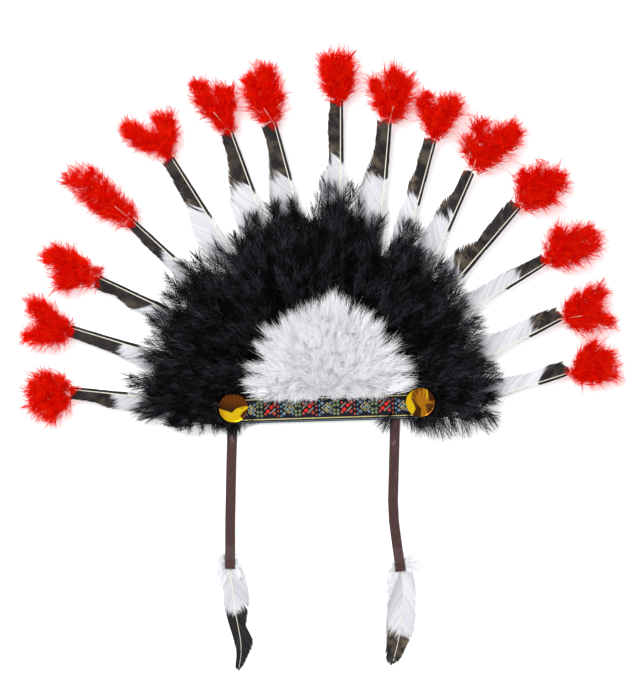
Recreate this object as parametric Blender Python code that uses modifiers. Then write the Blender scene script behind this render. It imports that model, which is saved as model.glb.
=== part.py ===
"""A feathered headdress lying flat on its back, in metres.

+X runs along the ribbon band to the viewer's right, +Y points from the band to the feather tips
and +Z points away from the surface that it lies on. The origin is under the middle of the band,
on the back of the felt. Feathers are numbered clockwise from the lower left.
"""

import math
import random
from collections import namedtuple

import bmesh
import bpy
from mathutils import Matrix, Vector

COLLECTION = "feathered_headdress"

# Clearances, and how near two points are to be welded into one
GAP = 0.0003
FLUFF_GAP = 0.0006
FLOOR_CLEARANCE = 0.0015
WELD = 1e-7

# Felt backing
FELT_RADIUS = 0.125
FELT_THICKNESS = 0.0025
FELT_HEM = 0.0005
FELT_ARC_STEPS = 30

# Ribbon band and its end discs
RIBBON_LENGTH = 0.1875
RIBBON_WIDTH = 0.0255
RIBBON_THICKNESS = 0.0012
DISC_DIAMETER = 0.0295
DISC_RAISE = 0.0033
DISC_THICKNESS = 0.0012
DISC_DOME = 0.0009
DISC_RIM = 0.0006
DISC_STEPS = 28
DiscRow = namedtuple("DiscRow", "radius thickness dome rim")
# Shares of the disc's radius, thickness, dome and rim, from the middle out and back underneath
DISC_PROFILE = (
    DiscRow(0.00, 1.0, 1.0, 0.0),
    DiscRow(0.50, 1.0, 0.7, 0.0),
    DiscRow(0.88, 1.0, 0.0, 0.0),
    DiscRow(0.91, 1.0, 0.0, 1.0),
    DiscRow(0.97, 1.0, 0.0, 1.0),
    DiscRow(1.00, 0.6, 0.0, 0.0),
    DiscRow(0.98, 0.0, 0.0, 0.0),
    DiscRow(0.00, 0.0, 0.0, 0.0),
)

# Straps that hang from the band, with a feather at each lower end
STRAP_WIDTH = 0.0100
STRAP_THICKNESS = 0.0015
STRAP_TUCK = 0.0100
STRAP_SLOPE = 0.0140
STRAP_LAP = 0.0090
STRAP_STEPS = 16
# How far each strap's middle starts inside the ribbon's end
STRAP_LEFT_INSET = -0.0008
STRAP_RIGHT_INSET = 0.0253
STRAP_LEFT_LENGTH = 0.1550
STRAP_RIGHT_LENGTH = 0.1625
Sway = namedtuple("Sway", "down side")
# Shares of each strap's length, down it and to the viewer's right
STRAP_LEFT_SWAY = (Sway(0.0, 0.0), Sway(0.3, -0.018), Sway(0.7, -0.038), Sway(1.0, -0.047))
STRAP_RIGHT_SWAY = (Sway(0.0, 0.0), Sway(0.57, -0.032), Sway(0.7, -0.029), Sway(1.0, 0.003))
STRAP_FEATHER_WIDTH = 0.0165
STRAP_FEATHER_QUILL = 0.0022
STRAP_FEATHER_TIP = 0.0007
STRAP_FEATHER_LEFT_LENGTH = 0.1120
STRAP_FEATHER_RIGHT_LENGTH = 0.1030
STRAP_FEATHER_LEFT_HEADING = -87.3
STRAP_FEATHER_RIGHT_HEADING = -97.0

# Long feathers, which fan out from the middle of the ribbon's upper edge
FAN_REACH = 0.2800
FOOT_RADIUS = 0.1050
FEATHER_RISE_DEG = 3.0
QUILL_FOOT = 0.0028
QUILL_TIP = 0.0014
QUILL_SIDES = 8
VANE_WIDTH = 0.0200
VANE_THICKNESS = 0.0010
Feather = namedtuple("Feather", "bearing reach lean width")
# Bearing of the vane's outer end from the fan's centre, its reach as a share of FAN_REACH,
# the shaft's lean from that bearing, and the vane's width as a share of VANE_WIDTH
LONG_FEATHERS = (
    Feather(176.9, 0.903, -4.6, 0.95),
    Feather(163.4, 0.942, -2.1, 1.00),
    Feather(150.9, 0.912, 2.0, 1.00),
    Feather(136.3, 0.930, -0.6, 1.00),
    Feather(121.4, 1.008, -1.1, 1.00),
    Feather(108.3, 1.000, 0.0, 1.00),
    Feather(99.2, 0.987, 4.1, 1.05),
    Feather(85.6, 1.050, 2.7, 1.08),
    Feather(75.4, 0.996, 8.3, 1.15),
    Feather(65.4, 0.983, 7.9, 0.90),
    Feather(55.1, 0.942, 9.6, 1.00),
    Feather(42.7, 0.958, 5.0, 1.05),
    Feather(29.6, 0.913, 0.7, 0.95),
    Feather(16.5, 0.876, 9.3, 1.00),
    Feather(3.6, 0.861, 12.4, 0.95),
)
Station = namedtuple("Station", "along wide narrow")
# Shares of the feather's length and of its vane width, from the root of the vane out
LONG_VANE = (
    Station(0.180, 0.08, 0.05),
    Station(0.260, 0.42, 0.10),
    Station(0.360, 0.76, 0.16),
    Station(0.480, 0.95, 0.18),
    Station(0.600, 0.84, 0.17),
    Station(0.650, 0.62, 0.15),
    Station(0.730, 0.57, 0.14),
    Station(0.880, 0.58, 0.14),
    Station(0.995, 0.48, 0.12),
)
STRAP_VANE = (
    Station(0.110, 0.45, 0.50),
    Station(0.240, 0.78, 0.76),
    Station(0.430, 0.98, 0.80),
    Station(0.560, 0.92, 0.74),
    Station(0.640, 0.70, 0.66),
    Station(0.760, 0.74, 0.58),
    Station(0.860, 0.56, 0.42),
    Station(0.950, 0.22, 0.28),
    Station(0.995, 0.10, 0.10),
)

# Red tufts on the tips of the long feathers
TUFT_REACH = 0.0300
TUFT_THICKNESS = 0.0280
TUFT_LOCKS = 20
TUFT_TIERS = 6
TUFT_LOCK_DEPTH = 0.16
TUFT_LOCK_LEAST = 0.5
NECK_FLATNESS = 0.8
NECK_STEPS = 1.5
Tuft = namedtuple("Tuft", "ahead aside reaches")
# The head's centre ahead of the vane and to its wide side, then the tuft's reach from there at
# six even turns from straight ahead towards the wide side, all as shares of TUFT_REACH
TUFTS = (
    Tuft(0.77, 0.30, (0.70, 0.68, 0.84, 0.66, 0.74, 0.98)),
    Tuft(0.83, 0.13, (0.74, 0.80, 0.84, 0.80, 0.62, 0.90)),
    Tuft(1.10, 0.20, (1.08, 0.76, 0.82, 1.08, 0.66, 0.82)),
    Tuft(1.43, 0.13, (1.42, 0.66, 0.64, 1.38, 0.72, 0.76)),
    Tuft(1.10, 0.10, (0.62, 1.12, 0.62, 0.94, 0.88, 0.96)),
    Tuft(1.17, 0.20, (0.98, 0.88, 0.62, 1.16, 0.88, 0.80)),
    Tuft(1.13, 0.10, (0.94, 0.64, 0.70, 1.08, 0.70, 0.84)),
    Tuft(0.87, 0.17, (0.76, 0.78, 0.74, 0.86, 0.68, 0.76)),
    Tuft(1.00, -0.07, (0.86, 0.90, 0.68, 0.96, 0.70, 0.78)),
    Tuft(1.03, 0.17, (1.02, 0.82, 0.66, 0.92, 0.60, 0.84)),
    Tuft(1.27, -0.20, (0.82, 1.02, 0.96, 1.22, 0.74, 1.20)),
    Tuft(0.97, -0.07, (0.92, 0.80, 0.86, 0.94, 0.62, 0.86)),
    Tuft(1.03, 0.03, (1.00, 0.66, 0.88, 1.00, 0.66, 0.84)),
    Tuft(0.90, -0.17, (0.74, 0.92, 0.72, 0.88, 0.80, 1.00)),
    Tuft(0.93, 0.13, (0.72, 0.84, 0.72, 0.82, 0.60, 0.92)),
)

# Marabou: the white half-round centre and the black ruff round it
FLUFF_STEP_DEG = 2.5
WHITE_REACH = 0.0950
WHITE_HEIGHT = 0.0310
WHITE_ROLL = 0.0240
WHITE_HEM = 0.25
RUFF_REACH = 0.1900
RUFF_HEIGHT = 0.0350
RUFF_FIRST_DEG = -17.5
RUFF_LAST_DEG = 195.0
DISC_MARGIN = 0.0012
RUFF_CLOSE_DEG = 8.0
LOCK_DEPTH = 0.07
LOCK_RELIEF = 0.22
LOCKS_FROM = 0.0600
Edge = namedtuple("Edge", "bearing reach")
# Outlines as shares of WHITE_REACH and RUFF_REACH
WHITE_EDGE = (
    Edge(0, 0.84),
    Edge(8, 0.91),
    Edge(18, 0.98),
    Edge(26, 0.96),
    Edge(33, 0.87),
    Edge(38, 0.95),
    Edge(51, 1.01),
    Edge(64, 1.05),
    Edge(75, 1.08),
    Edge(85, 1.12),
    Edge(91, 1.04),
    Edge(101, 0.99),
    Edge(116, 1.04),
    Edge(128, 1.01),
    Edge(139, 0.97),
    Edge(150, 0.86),
    Edge(157, 0.90),
    Edge(168, 0.92),
    Edge(180, 0.89),
)
RUFF_EDGE = (
    Edge(-20, 0.78),
    Edge(-14, 0.95),
    Edge(-8, 0.91),
    Edge(-2, 0.90),
    Edge(7, 0.97),
    Edge(14, 0.84),
    Edge(18, 0.90),
    Edge(27, 0.94),
    Edge(36, 0.94),
    Edge(46, 0.96),
    Edge(55, 0.92),
    Edge(60, 1.02),
    Edge(70, 1.04),
    Edge(73, 0.95),
    Edge(79, 0.98),
    Edge(84, 1.14),
    Edge(89, 1.02),
    Edge(93, 0.97),
    Edge(98, 1.05),
    Edge(107, 1.03),
    Edge(114, 1.01),
    Edge(121, 0.97),
    Edge(127, 0.92),
    Edge(132, 1.04),
    Edge(141, 1.03),
    Edge(150, 0.98),
    Edge(158, 1.00),
    Edge(165, 0.94),
    Edge(171, 0.99),
    Edge(177, 1.04),
    Edge(184, 0.91),
    Edge(190, 0.84),
    Edge(196, 0.72),
)
Ring = namedtuple("Ring", "across height")
# Shares of the way from the inner edge to the outer one, and of the height
WHITE_RINGS = (
    Ring(0.00, 0.70),
    Ring(0.30, 0.90),
    Ring(0.58, 1.00),
    Ring(0.82, 0.82),
    Ring(1.00, 0.46),
)
RUFF_RINGS = (
    Ring(0.00, 0.50),
    Ring(0.18, 0.88),
    Ring(0.42, 1.00),
    Ring(0.68, 0.80),
    Ring(0.88, 0.46),
    Ring(1.00, 0.14),
)

# Levels and places worked out from the sizes above
FAN_Y = RIBBON_WIDTH / 2
ON_FELT = FELT_THICKNESS + GAP
QUILL_LEVEL = ON_FELT + QUILL_FOOT / 2
QUILL_TOP = ON_FELT + QUILL_FOOT
RISE = math.radians(FEATHER_RISE_DEG)
RIBBON_LEVEL = ON_FELT + STRAP_THICKNESS + GAP
DISC_LEVEL = max(RIBBON_LEVEL + RIBBON_THICKNESS, QUILL_TOP) + GAP
DISC_X = RIBBON_LENGTH / 2
DISC_FROM_FAN = math.hypot(DISC_X, FAN_Y - DISC_RAISE)
DISC_CLEAR = DISC_DIAMETER / 2 + DISC_MARGIN
DISC_BELOW_FAN = math.atan2(FAN_Y - DISC_RAISE, DISC_X)
DISC_TOP_DEG = math.degrees(math.asin(DISC_CLEAR / DISC_FROM_FAN) - DISC_BELOW_FAN)
TUFT_LEVEL = FLOOR_CLEARANCE + TUFT_THICKNESS / 2


def clear_scene():
    for thing in list(bpy.data.objects):
        bpy.data.objects.remove(thing, do_unlink=True)
    home = bpy.data.collections.new(COLLECTION)
    bpy.context.scene.collection.children.link(home)
    return home


def make_material(name, color, roughness, metallic=0.0):
    material = bpy.data.materials.new(name)
    material.use_nodes = True
    shader = material.node_tree.nodes["Principled BSDF"]
    shader.inputs["Base Color"].default_value = (*color, 1.0)
    shader.inputs["Roughness"].default_value = roughness
    shader.inputs["Metallic"].default_value = metallic
    return material


def add_object(home, name, mesh, material):
    mesh.materials.clear()
    mesh.materials.append(material)
    thing = bpy.data.objects.new(name, mesh)
    home.objects.link(thing)
    return thing


def between(table, key, value, at):
    """The value column of a table at a place along its key column, on straight lines."""
    for low, high in zip(table, table[1:]):
        start, end = getattr(low, key), getattr(high, key)
        if at <= end:
            share = (at - start) / (end - start)
            return getattr(low, value) + share * (getattr(high, value) - getattr(low, value))
    return getattr(table[-1], value)


def fan_point(bearing, reach):
    """A point of the fan at this bearing in degrees and this reach from its centre."""
    turn = math.radians(bearing)
    return Vector((reach * math.cos(turn), FAN_Y + reach * math.sin(turn), 0.0))


def outline_mesh(name, points, thickness):
    """A flat plate with this outline, its middle plane at z = 0."""
    curve = bpy.data.curves.new(name, "CURVE")
    curve.dimensions = "2D"
    curve.fill_mode = "BOTH"
    curve.extrude = thickness / 2
    spline = curve.splines.new("POLY")
    spline.points.add(len(points) - 1)
    for corner, point in zip(spline.points, points):
        corner.co = (point[0], point[1], 0.0, 1.0)
    spline.use_cyclic_u = True
    helper = bpy.data.objects.new(name, curve)
    bpy.context.scene.collection.objects.link(helper)
    mesh = evaluated_mesh(helper)
    bpy.data.objects.remove(helper, do_unlink=True)
    plate = bmesh.new()
    plate.from_mesh(mesh)
    bmesh.ops.remove_doubles(plate, verts=plate.verts, dist=WELD)
    bmesh.ops.recalc_face_normals(plate, faces=plate.faces)
    plate.to_mesh(mesh)
    plate.free()
    return mesh


def evaluated_mesh(thing):
    bpy.context.view_layer.update()
    graph = bpy.context.evaluated_depsgraph_get()
    return bpy.data.meshes.new_from_object(thing.evaluated_get(graph))


def joined(name, first, second):
    """Both closed meshes as one body."""
    base = bpy.data.objects.new(name, first)
    tool = bpy.data.objects.new(name + "_tool", second)
    for helper in (base, tool):
        bpy.context.scene.collection.objects.link(helper)
    union = base.modifiers.new("union", "BOOLEAN")
    union.operation = "UNION"
    union.object = tool
    mesh = evaluated_mesh(base)
    for helper in (base, tool):
        bpy.data.objects.remove(helper, do_unlink=True)
    return mesh


def felt_backing(home, material):
    """A half-disc that the quills are glued to, with its straight edge just inside the ribbon's."""
    hem = -(RIBBON_WIDTH / 2 - FELT_HEM)
    points = []
    for step in range(FELT_ARC_STEPS + 1):
        points.append(fan_point(180.0 * step / FELT_ARC_STEPS, FELT_RADIUS))
    points.append(Vector((-FELT_RADIUS, hem, 0.0)))
    points.append(Vector((FELT_RADIUS, hem, 0.0)))
    felt = add_object(home, "felt_backing", outline_mesh("felt", points, FELT_THICKNESS), material)
    felt.location.z = FELT_THICKNESS / 2


def ribbon_band(home, material):
    mesh = bpy.data.meshes.new("ribbon")
    block = bmesh.new()
    bmesh.ops.create_cube(block, size=1.0)
    size = Vector((RIBBON_LENGTH, RIBBON_WIDTH, RIBBON_THICKNESS))
    bmesh.ops.scale(block, vec=size, verts=block.verts)
    block.to_mesh(mesh)
    block.free()
    ribbon = add_object(home, "ribbon_band", mesh, material)
    ribbon.location.z = RIBBON_LEVEL + RIBBON_THICKNESS / 2


def disc(home, name, side, material):
    """A thin domed disc with a raised rim, over one end of the ribbon."""
    profile = bmesh.new()
    corners = []
    for row in DISC_PROFILE:
        height = row.thickness * DISC_THICKNESS + row.dome * DISC_DOME + row.rim * DISC_RIM
        corners.append(profile.verts.new((row.radius * DISC_DIAMETER / 2, 0.0, height)))
    for start, end in zip(corners, corners[1:]):
        profile.edges.new((start, end))
    mesh = bpy.data.meshes.new(name)
    profile.to_mesh(mesh)
    profile.free()
    plate = add_object(home, name, mesh, material)
    turn = plate.modifiers.new("turn", "SCREW")
    turn.steps = DISC_STEPS
    turn.render_steps = DISC_STEPS
    turn.use_merge_vertices = True
    turn.merge_threshold = WELD
    turn.use_smooth_shade = True
    plate.location = (side * DISC_X, DISC_RAISE, DISC_LEVEL)


def strap_path(top_x, length, sway):
    """Points down the middle of the strap's underside: off the felt, along the floor and over the quill."""
    off_felt = STRAP_TUCK - FELT_HEM + STRAP_THICKNESS / 2
    over_quill = STRAP_FEATHER_QUILL + GAP
    breaks = {0.0, off_felt, off_felt + STRAP_SLOPE}
    breaks |= {length - STRAP_LAP - STRAP_SLOPE, length - STRAP_LAP, length}
    breaks |= {length * step / STRAP_STEPS for step in range(STRAP_STEPS)}
    points = []
    for down in sorted(breaks):
        fall = min(max((down - off_felt) / STRAP_SLOPE, 0.0), 1.0)
        lift = min(max((down - length + STRAP_LAP + STRAP_SLOPE) / STRAP_SLOPE, 0.0), 1.0)
        x = top_x + length * between(sway, "down", "side", down / length)
        y = STRAP_TUCK - RIBBON_WIDTH / 2 - down
        points.append(Vector((x, y, ON_FELT * (1.0 - fall) + over_quill * lift)))
    return points


def strap(home, name, path, material):
    """A flat strip along the path, with its thickness above it."""
    strip = bmesh.new()
    rows = []
    for number, point in enumerate(path):
        ahead = path[min(number + 1, len(path) - 1)] - path[max(number - 1, 0)]
        across = Vector((-ahead.y, ahead.x, 0.0)).normalized() * (STRAP_WIDTH / 2)
        rows.append((strip.verts.new(point - across), strip.verts.new(point + across)))
    for (left, right), (next_left, next_right) in zip(rows, rows[1:]):
        strip.faces.new((left, next_left, next_right, right))
    mesh = bpy.data.meshes.new(name)
    bmesh.ops.recalc_face_normals(strip, faces=strip.faces)
    for face in strip.faces:
        if face.normal.z < 0.0:
            face.normal_flip()
    strip.to_mesh(mesh)
    strip.free()
    piece = add_object(home, name, mesh, material)
    wall = piece.modifiers.new("wall", "SOLIDIFY")
    wall.thickness = STRAP_THICKNESS
    wall.offset = 1.0


def feather_mesh(name, length, width, stations, quill_foot, quill_tip):
    """A feather along +X with its foot at the origin and its wide vane on the +Y side."""
    outline = [(row.along * length, row.wide * width) for row in stations]
    outline += [(row.along * length, -row.narrow * width) for row in reversed(stations)]
    vane = outline_mesh(name, outline, VANE_THICKNESS)
    quill = bmesh.new()
    along_x = Matrix.Rotation(math.pi / 2, 4, "Y")
    half = Matrix.Translation((length / 2, 0.0, 0.0))
    bmesh.ops.create_cone(
        quill,
        cap_ends=True,
        segments=QUILL_SIDES,
        radius1=quill_foot / 2,
        radius2=quill_tip / 2,
        depth=length,
        matrix=half @ along_x @ Matrix.Rotation(math.pi / QUILL_SIDES, 4, "Z"),
    )
    shaft = bpy.data.meshes.new(name + "_quill")
    quill.to_mesh(shaft)
    quill.free()
    return joined(name, shaft, vane)


def long_feather(home, index, material):
    """A feather from its foot on the felt out to its tuft, rising a little on the way."""
    row = LONG_FEATHERS[index]
    reach = row.reach * FAN_REACH
    heading = math.radians(row.bearing + row.lean)
    off_centre = reach * math.sin(math.radians(row.lean))
    run = reach * math.cos(math.radians(row.lean)) - math.sqrt(FOOT_RADIUS**2 - off_centre**2)
    ahead = Vector((math.cos(heading), math.sin(heading), 0.0))
    foot = fan_point(row.bearing, reach) - ahead * run
    name = f"long_feather_{index + 1:02d}"
    width = row.width * VANE_WIDTH
    mesh = feather_mesh(name, run / math.cos(RISE), width, LONG_VANE, QUILL_FOOT, QUILL_TIP)
    feather = add_object(home, name, mesh, material)
    turn = Matrix.Rotation(heading, 4, "Z") @ Matrix.Rotation(-RISE, 4, "Y")
    feather.matrix_world = Matrix.Translation((foot.x, foot.y, QUILL_LEVEL)) @ turn


def strap_feather(home, name, strap_end, length, heading, material):
    """A feather flat on the floor, with its quill under the strap's end."""
    turn = math.radians(heading)
    ahead = Vector((math.cos(turn), math.sin(turn), 0.0))
    width, quill, tip = STRAP_FEATHER_WIDTH, STRAP_FEATHER_QUILL, STRAP_FEATHER_TIP
    mesh = feather_mesh(name, length, width, STRAP_VANE, quill, tip)
    feather = add_object(home, name, mesh, material)
    foot = Vector((strap_end.x, strap_end.y, quill / 2)) - ahead * STRAP_LAP
    feather.matrix_world = Matrix.Translation(foot) @ Matrix.Rotation(turn, 4, "Z")


def tuft_reach(row, turn):
    """The tuft's reach at this turn from straight ahead, eased between its six values."""
    place = (turn / math.tau * len(row.reaches)) % len(row.reaches)
    first = int(place)
    ease = (1.0 - math.cos(math.pi * (place - first))) / 2
    low = row.reaches[first]
    high = row.reaches[(first + 1) % len(row.reaches)]
    return TUFT_REACH * (low + ease * (high - low))


def tuft_frame(feather):
    """Where a tuft starts, at the outer end of its feather, turned so that +X runs straight ahead."""
    base = fan_point(feather.bearing, feather.reach * FAN_REACH)
    turned = Matrix.Rotation(math.radians(feather.bearing + feather.lean), 4, "Z")
    return Matrix.Translation((base.x, base.y, TUFT_LEVEL)) @ turned


def tuft_head(row):
    return Vector((row.ahead * TUFT_REACH, row.aside * TUFT_REACH, 0.0))


def neighbour_heads(index):
    """The heads of the tufts on both sides, seen in this tuft's own frame."""
    to_own = tuft_frame(LONG_FEATHERS[index]).inverted()
    heads = []
    for other in (index - 1, index + 1):
        if 0 <= other < len(TUFTS):
            heads.append(to_own @ tuft_frame(LONG_FEATHERS[other]) @ tuft_head(TUFTS[other]))
    return heads


def room_in_tuft(turn, head, neighbours):
    """How far down can reach this way: not past the seat, nor past the middle to the next tuft."""
    way = Vector((math.cos(turn), math.sin(turn), 0.0))
    room = (head.x - GAP) / -way.x if way.x < 0.0 else math.inf
    for other in neighbours:
        towards = other - head
        if way.dot(towards) > 0.0:
            half = (towards.length - GAP) / 2
            room = min(room, half / way.dot(towards.normalized()))
    return room


def tip_tuft(home, index, material):
    """A head of down with its locks drawn out of it, seated by a flat neck on the vane's end."""
    name = f"tip_tuft_{index + 1:02d}"
    chance = random.Random(index)
    head = tuft_head(TUFTS[index])
    neighbours = neighbour_heads(index)
    tuft = bmesh.new()
    bmesh.ops.create_uvsphere(tuft, u_segments=TUFT_LOCKS, v_segments=TUFT_TIERS, radius=1.0)
    half_step = math.pi / TUFT_LOCKS
    to_neck = math.atan2(-head.y, -head.x)
    for place, vert in enumerate(tuft.verts):
        flat = math.hypot(vert.co.x, vert.co.y)
        turn = math.atan2(vert.co.y, vert.co.x) + to_neck + half_step
        depth = TUFT_LOCK_DEPTH * chance.uniform(TUFT_LOCK_LEAST, 1.0)
        drawn = 1.0 + depth if place % 2 else 1.0 - depth
        room = room_in_tuft(turn, head, neighbours)
        reach = min(tuft_reach(TUFTS[index], turn) * flat * drawn, room)
        off_neck = abs(math.remainder(turn - to_neck, math.tau))
        if off_neck < NECK_STEPS * half_step and flat > NECK_FLATNESS:
            reach = room
        height = vert.co.z * TUFT_THICKNESS / 2
        vert.co = (head.x + reach * math.cos(turn), head.y + reach * math.sin(turn), height)
    mesh = bpy.data.meshes.new(name)
    tuft.to_mesh(mesh)
    tuft.free()
    mesh.shade_smooth()
    piece = add_object(home, name, mesh, material)
    piece.matrix_world = tuft_frame(LONG_FEATHERS[index])


def lock_share(column, depth):
    """Every other column of the marabou lies in a hollow between two locks."""
    return 1.0 - depth * (column % 2)


def above_disc(bearing):
    """How many degrees this bearing lies above the nearer disc, seen from the fan's centre."""
    return min(bearing, 180.0 - bearing) - DISC_TOP_DEG


def white_edge(column, bearing):
    edge = between(WHITE_EDGE, "bearing", "reach", bearing) * WHITE_REACH
    edge *= lock_share(column, LOCK_DEPTH)
    return edge if above_disc(bearing) > 0.0 else min(edge, DISC_X - DISC_CLEAR)


def ruff_inner(column, bearing):
    """Just outside the white marabou, and clear of the discs at the band's ends."""
    beyond_disc = DISC_FROM_FAN + DISC_CLEAR
    closed = min(above_disc(bearing) / RUFF_CLOSE_DEG, 1.0)
    if closed <= 0.0:
        return beyond_disc
    seam = white_edge(column, bearing) + FLUFF_GAP
    return beyond_disc + closed * (seam - beyond_disc)


def lock_points(column, bearing, inner, outer, rings):
    """The spot, reach and share of the height where each ring crosses this bearing."""
    points = []
    for tier, ring in enumerate(rings):
        reach = inner + ring.across * (outer - inner)
        relief = lock_share(column + tier, LOCK_RELIEF * min(reach / LOCKS_FROM, 1.0))
        points.append((fan_point(bearing, reach), reach, ring.height * relief))
    return points


def marabou(home, name, columns, material):
    """A fan of locks in one closed skin. Each column holds its points on the underside, from the
    inner edge out, each with the height of the down above it.
    """
    skin = bmesh.new()
    upper, lower = [], []
    for column in columns:
        lower.append([skin.verts.new(foot) for foot, height in column])
        upper.append([skin.verts.new(foot + Vector((0.0, 0.0, height))) for foot, height in column])
    tiers = len(upper[0])
    for column in range(len(columns) - 1):
        for tier in range(tiers - 1):
            for sheet in (upper, lower):
                corners = [sheet[column][tier], sheet[column][tier + 1]]
                corners += [sheet[column + 1][tier + 1], sheet[column + 1][tier]]
                skin.faces.new(corners)
        for tier in (0, -1):
            corners = [upper[column][tier], upper[column + 1][tier]]
            corners += [lower[column + 1][tier], lower[column][tier]]
            skin.faces.new(corners)
    for column in (0, -1):
        for tier in range(tiers - 1):
            corners = [upper[column][tier], upper[column][tier + 1]]
            corners += [lower[column][tier + 1], lower[column][tier]]
            skin.faces.new(corners)
    bmesh.ops.remove_doubles(skin, verts=skin.verts, dist=WELD)
    bmesh.ops.recalc_face_normals(skin, faces=skin.faces)
    mesh = bpy.data.meshes.new(name)
    skin.to_mesh(mesh)
    skin.free()
    add_object(home, name, mesh, material)


def white_marabou(home, material):
    """A half-round dome that rolls down to the ribbon's upper edge."""
    columns = []
    for column in range(round(180.0 / FLUFF_STEP_DEG) + 1):
        bearing = column * FLUFF_STEP_DEG
        edge = white_edge(column, bearing)
        points = []
        for spot, reach, share in lock_points(column, bearing, 0.0, edge, WHITE_RINGS):
            rolled = min((spot.y - FAN_Y) / WHITE_ROLL, 1.0)
            height = WHITE_HEIGHT * share * (WHITE_HEM + (1.0 - WHITE_HEM) * rolled)
            points.append((spot + Vector((0.0, 0.0, ON_FELT)), height))
        columns.append(points)
    marabou(home, "white_marabou_centre", columns, material)


def black_marabou(home, material):
    """A ruff that lies over the quills and rises with them."""
    columns = []
    first = round(RUFF_FIRST_DEG / FLUFF_STEP_DEG)
    last = round(RUFF_LAST_DEG / FLUFF_STEP_DEG)
    for column in range(first, last + 1):
        bearing = column * FLUFF_STEP_DEG
        inner = ruff_inner(column, bearing)
        outer = between(RUFF_EDGE, "bearing", "reach", bearing) * RUFF_REACH
        outer *= lock_share(column, LOCK_DEPTH)
        points = []
        for spot, reach, share in lock_points(column, bearing, inner, outer, RUFF_RINGS):
            level = QUILL_TOP + GAP + max(reach - FOOT_RADIUS, 0.0) * math.tan(RISE)
            points.append((spot + Vector((0.0, 0.0, level)), RUFF_HEIGHT * share))
        columns.append(points)
    marabou(home, "black_marabou_ruff", columns, material)


def build():
    home = clear_scene()
    felt = make_material("felt_black", (0.012, 0.012, 0.014), 0.95)
    ribbon = make_material("woven_ribbon", (0.030, 0.032, 0.060), 0.70)
    gold = make_material("amber_mirror", (0.85, 0.55, 0.02), 0.12, 1.0)
    strap_brown = make_material("brown_leatherette", (0.065, 0.035, 0.032), 0.45)
    vane = make_material("feather_vane", (0.60, 0.59, 0.58), 0.60)
    red = make_material("red_down", (0.80, 0.02, 0.01), 0.80)
    white = make_material("white_down", (0.80, 0.81, 0.83), 0.85)
    black = make_material("black_down", (0.008, 0.008, 0.011), 0.75)

    felt_backing(home, felt)
    ribbon_band(home, ribbon)
    disc(home, "disc_left", -1, gold)
    disc(home, "disc_right", 1, gold)
    white_marabou(home, white)
    black_marabou(home, black)
    for index in range(len(LONG_FEATHERS)):
        long_feather(home, index, vane)
        tip_tuft(home, index, red)

    left_x = STRAP_LEFT_INSET - RIBBON_LENGTH / 2
    right_x = RIBBON_LENGTH / 2 - STRAP_RIGHT_INSET
    left = strap_path(left_x, STRAP_LEFT_LENGTH, STRAP_LEFT_SWAY)
    right = strap_path(right_x, STRAP_RIGHT_LENGTH, STRAP_RIGHT_SWAY)
    strap(home, "strap_left", left, strap_brown)
    strap(home, "strap_right", right, strap_brown)
    left_length, left_heading = STRAP_FEATHER_LEFT_LENGTH, STRAP_FEATHER_LEFT_HEADING
    right_length, right_heading = STRAP_FEATHER_RIGHT_LENGTH, STRAP_FEATHER_RIGHT_HEADING
    strap_feather(home, "strap_feather_left", left[-1], left_length, left_heading, vane)
    strap_feather(home, "strap_feather_right", right[-1], right_length, right_heading, vane)


build()
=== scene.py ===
"""The looks of a feathered headdress lying flat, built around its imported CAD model, in metres."""

import math
from collections import namedtuple

import bpy
import numpy as np
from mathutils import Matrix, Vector
from mathutils.bvhtree import BVHTree


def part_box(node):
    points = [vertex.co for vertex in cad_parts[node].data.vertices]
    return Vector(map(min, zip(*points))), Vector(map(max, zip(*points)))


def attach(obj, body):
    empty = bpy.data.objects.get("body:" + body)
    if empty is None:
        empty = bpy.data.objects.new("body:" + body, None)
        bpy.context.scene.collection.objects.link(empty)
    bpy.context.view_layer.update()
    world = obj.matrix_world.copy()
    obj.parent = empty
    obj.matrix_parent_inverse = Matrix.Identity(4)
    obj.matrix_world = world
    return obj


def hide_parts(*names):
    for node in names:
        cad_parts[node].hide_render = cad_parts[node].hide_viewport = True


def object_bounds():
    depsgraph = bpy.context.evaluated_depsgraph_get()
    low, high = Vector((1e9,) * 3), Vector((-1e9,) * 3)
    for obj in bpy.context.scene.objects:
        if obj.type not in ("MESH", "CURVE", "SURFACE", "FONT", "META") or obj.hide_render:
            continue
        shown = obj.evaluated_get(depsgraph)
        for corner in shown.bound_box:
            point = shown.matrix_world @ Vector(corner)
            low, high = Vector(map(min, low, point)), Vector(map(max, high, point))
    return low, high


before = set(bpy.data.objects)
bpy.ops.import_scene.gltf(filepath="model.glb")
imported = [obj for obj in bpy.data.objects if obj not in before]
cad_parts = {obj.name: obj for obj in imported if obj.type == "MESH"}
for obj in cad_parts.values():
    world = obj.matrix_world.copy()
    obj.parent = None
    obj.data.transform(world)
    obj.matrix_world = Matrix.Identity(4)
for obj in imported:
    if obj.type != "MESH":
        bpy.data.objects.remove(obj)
CAD_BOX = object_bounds()
MM = 0.001
FEATHERS = 15
SIDES = ("left", "right")
UP = np.array((0.0, 0.0, 1.0))

# The photograph's framing, in its own pixels, and the real size of one of them
PHOTO_WIDTH = 640
PHOTO_HEIGHT = 700
BAND_MIDDLE_PIXEL = (327.0, 408.5)
PIXEL = 0.001
PHOTO_TURN_DEG = 1.7
FOCUS_HEIGHT = 0.010
LENS = 200.0
SENSOR = 36.0

# Light and floor
SKY = (0.98, 0.985, 1.0)
SKY_STRENGTH = 0.94
KEY_PLACE = (-1.1, 1.3, 2.3)
KEY_SIZE = 1.5
KEY_POWER = 62.0
FLOOR_SIZE = 80.0
FLOOR_COLOR = (0.93, 0.93, 0.93)
FLOOR_LIGHT = (1.0, 1.0, 1.0)
FLOOR_GLOW = 0.30

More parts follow.
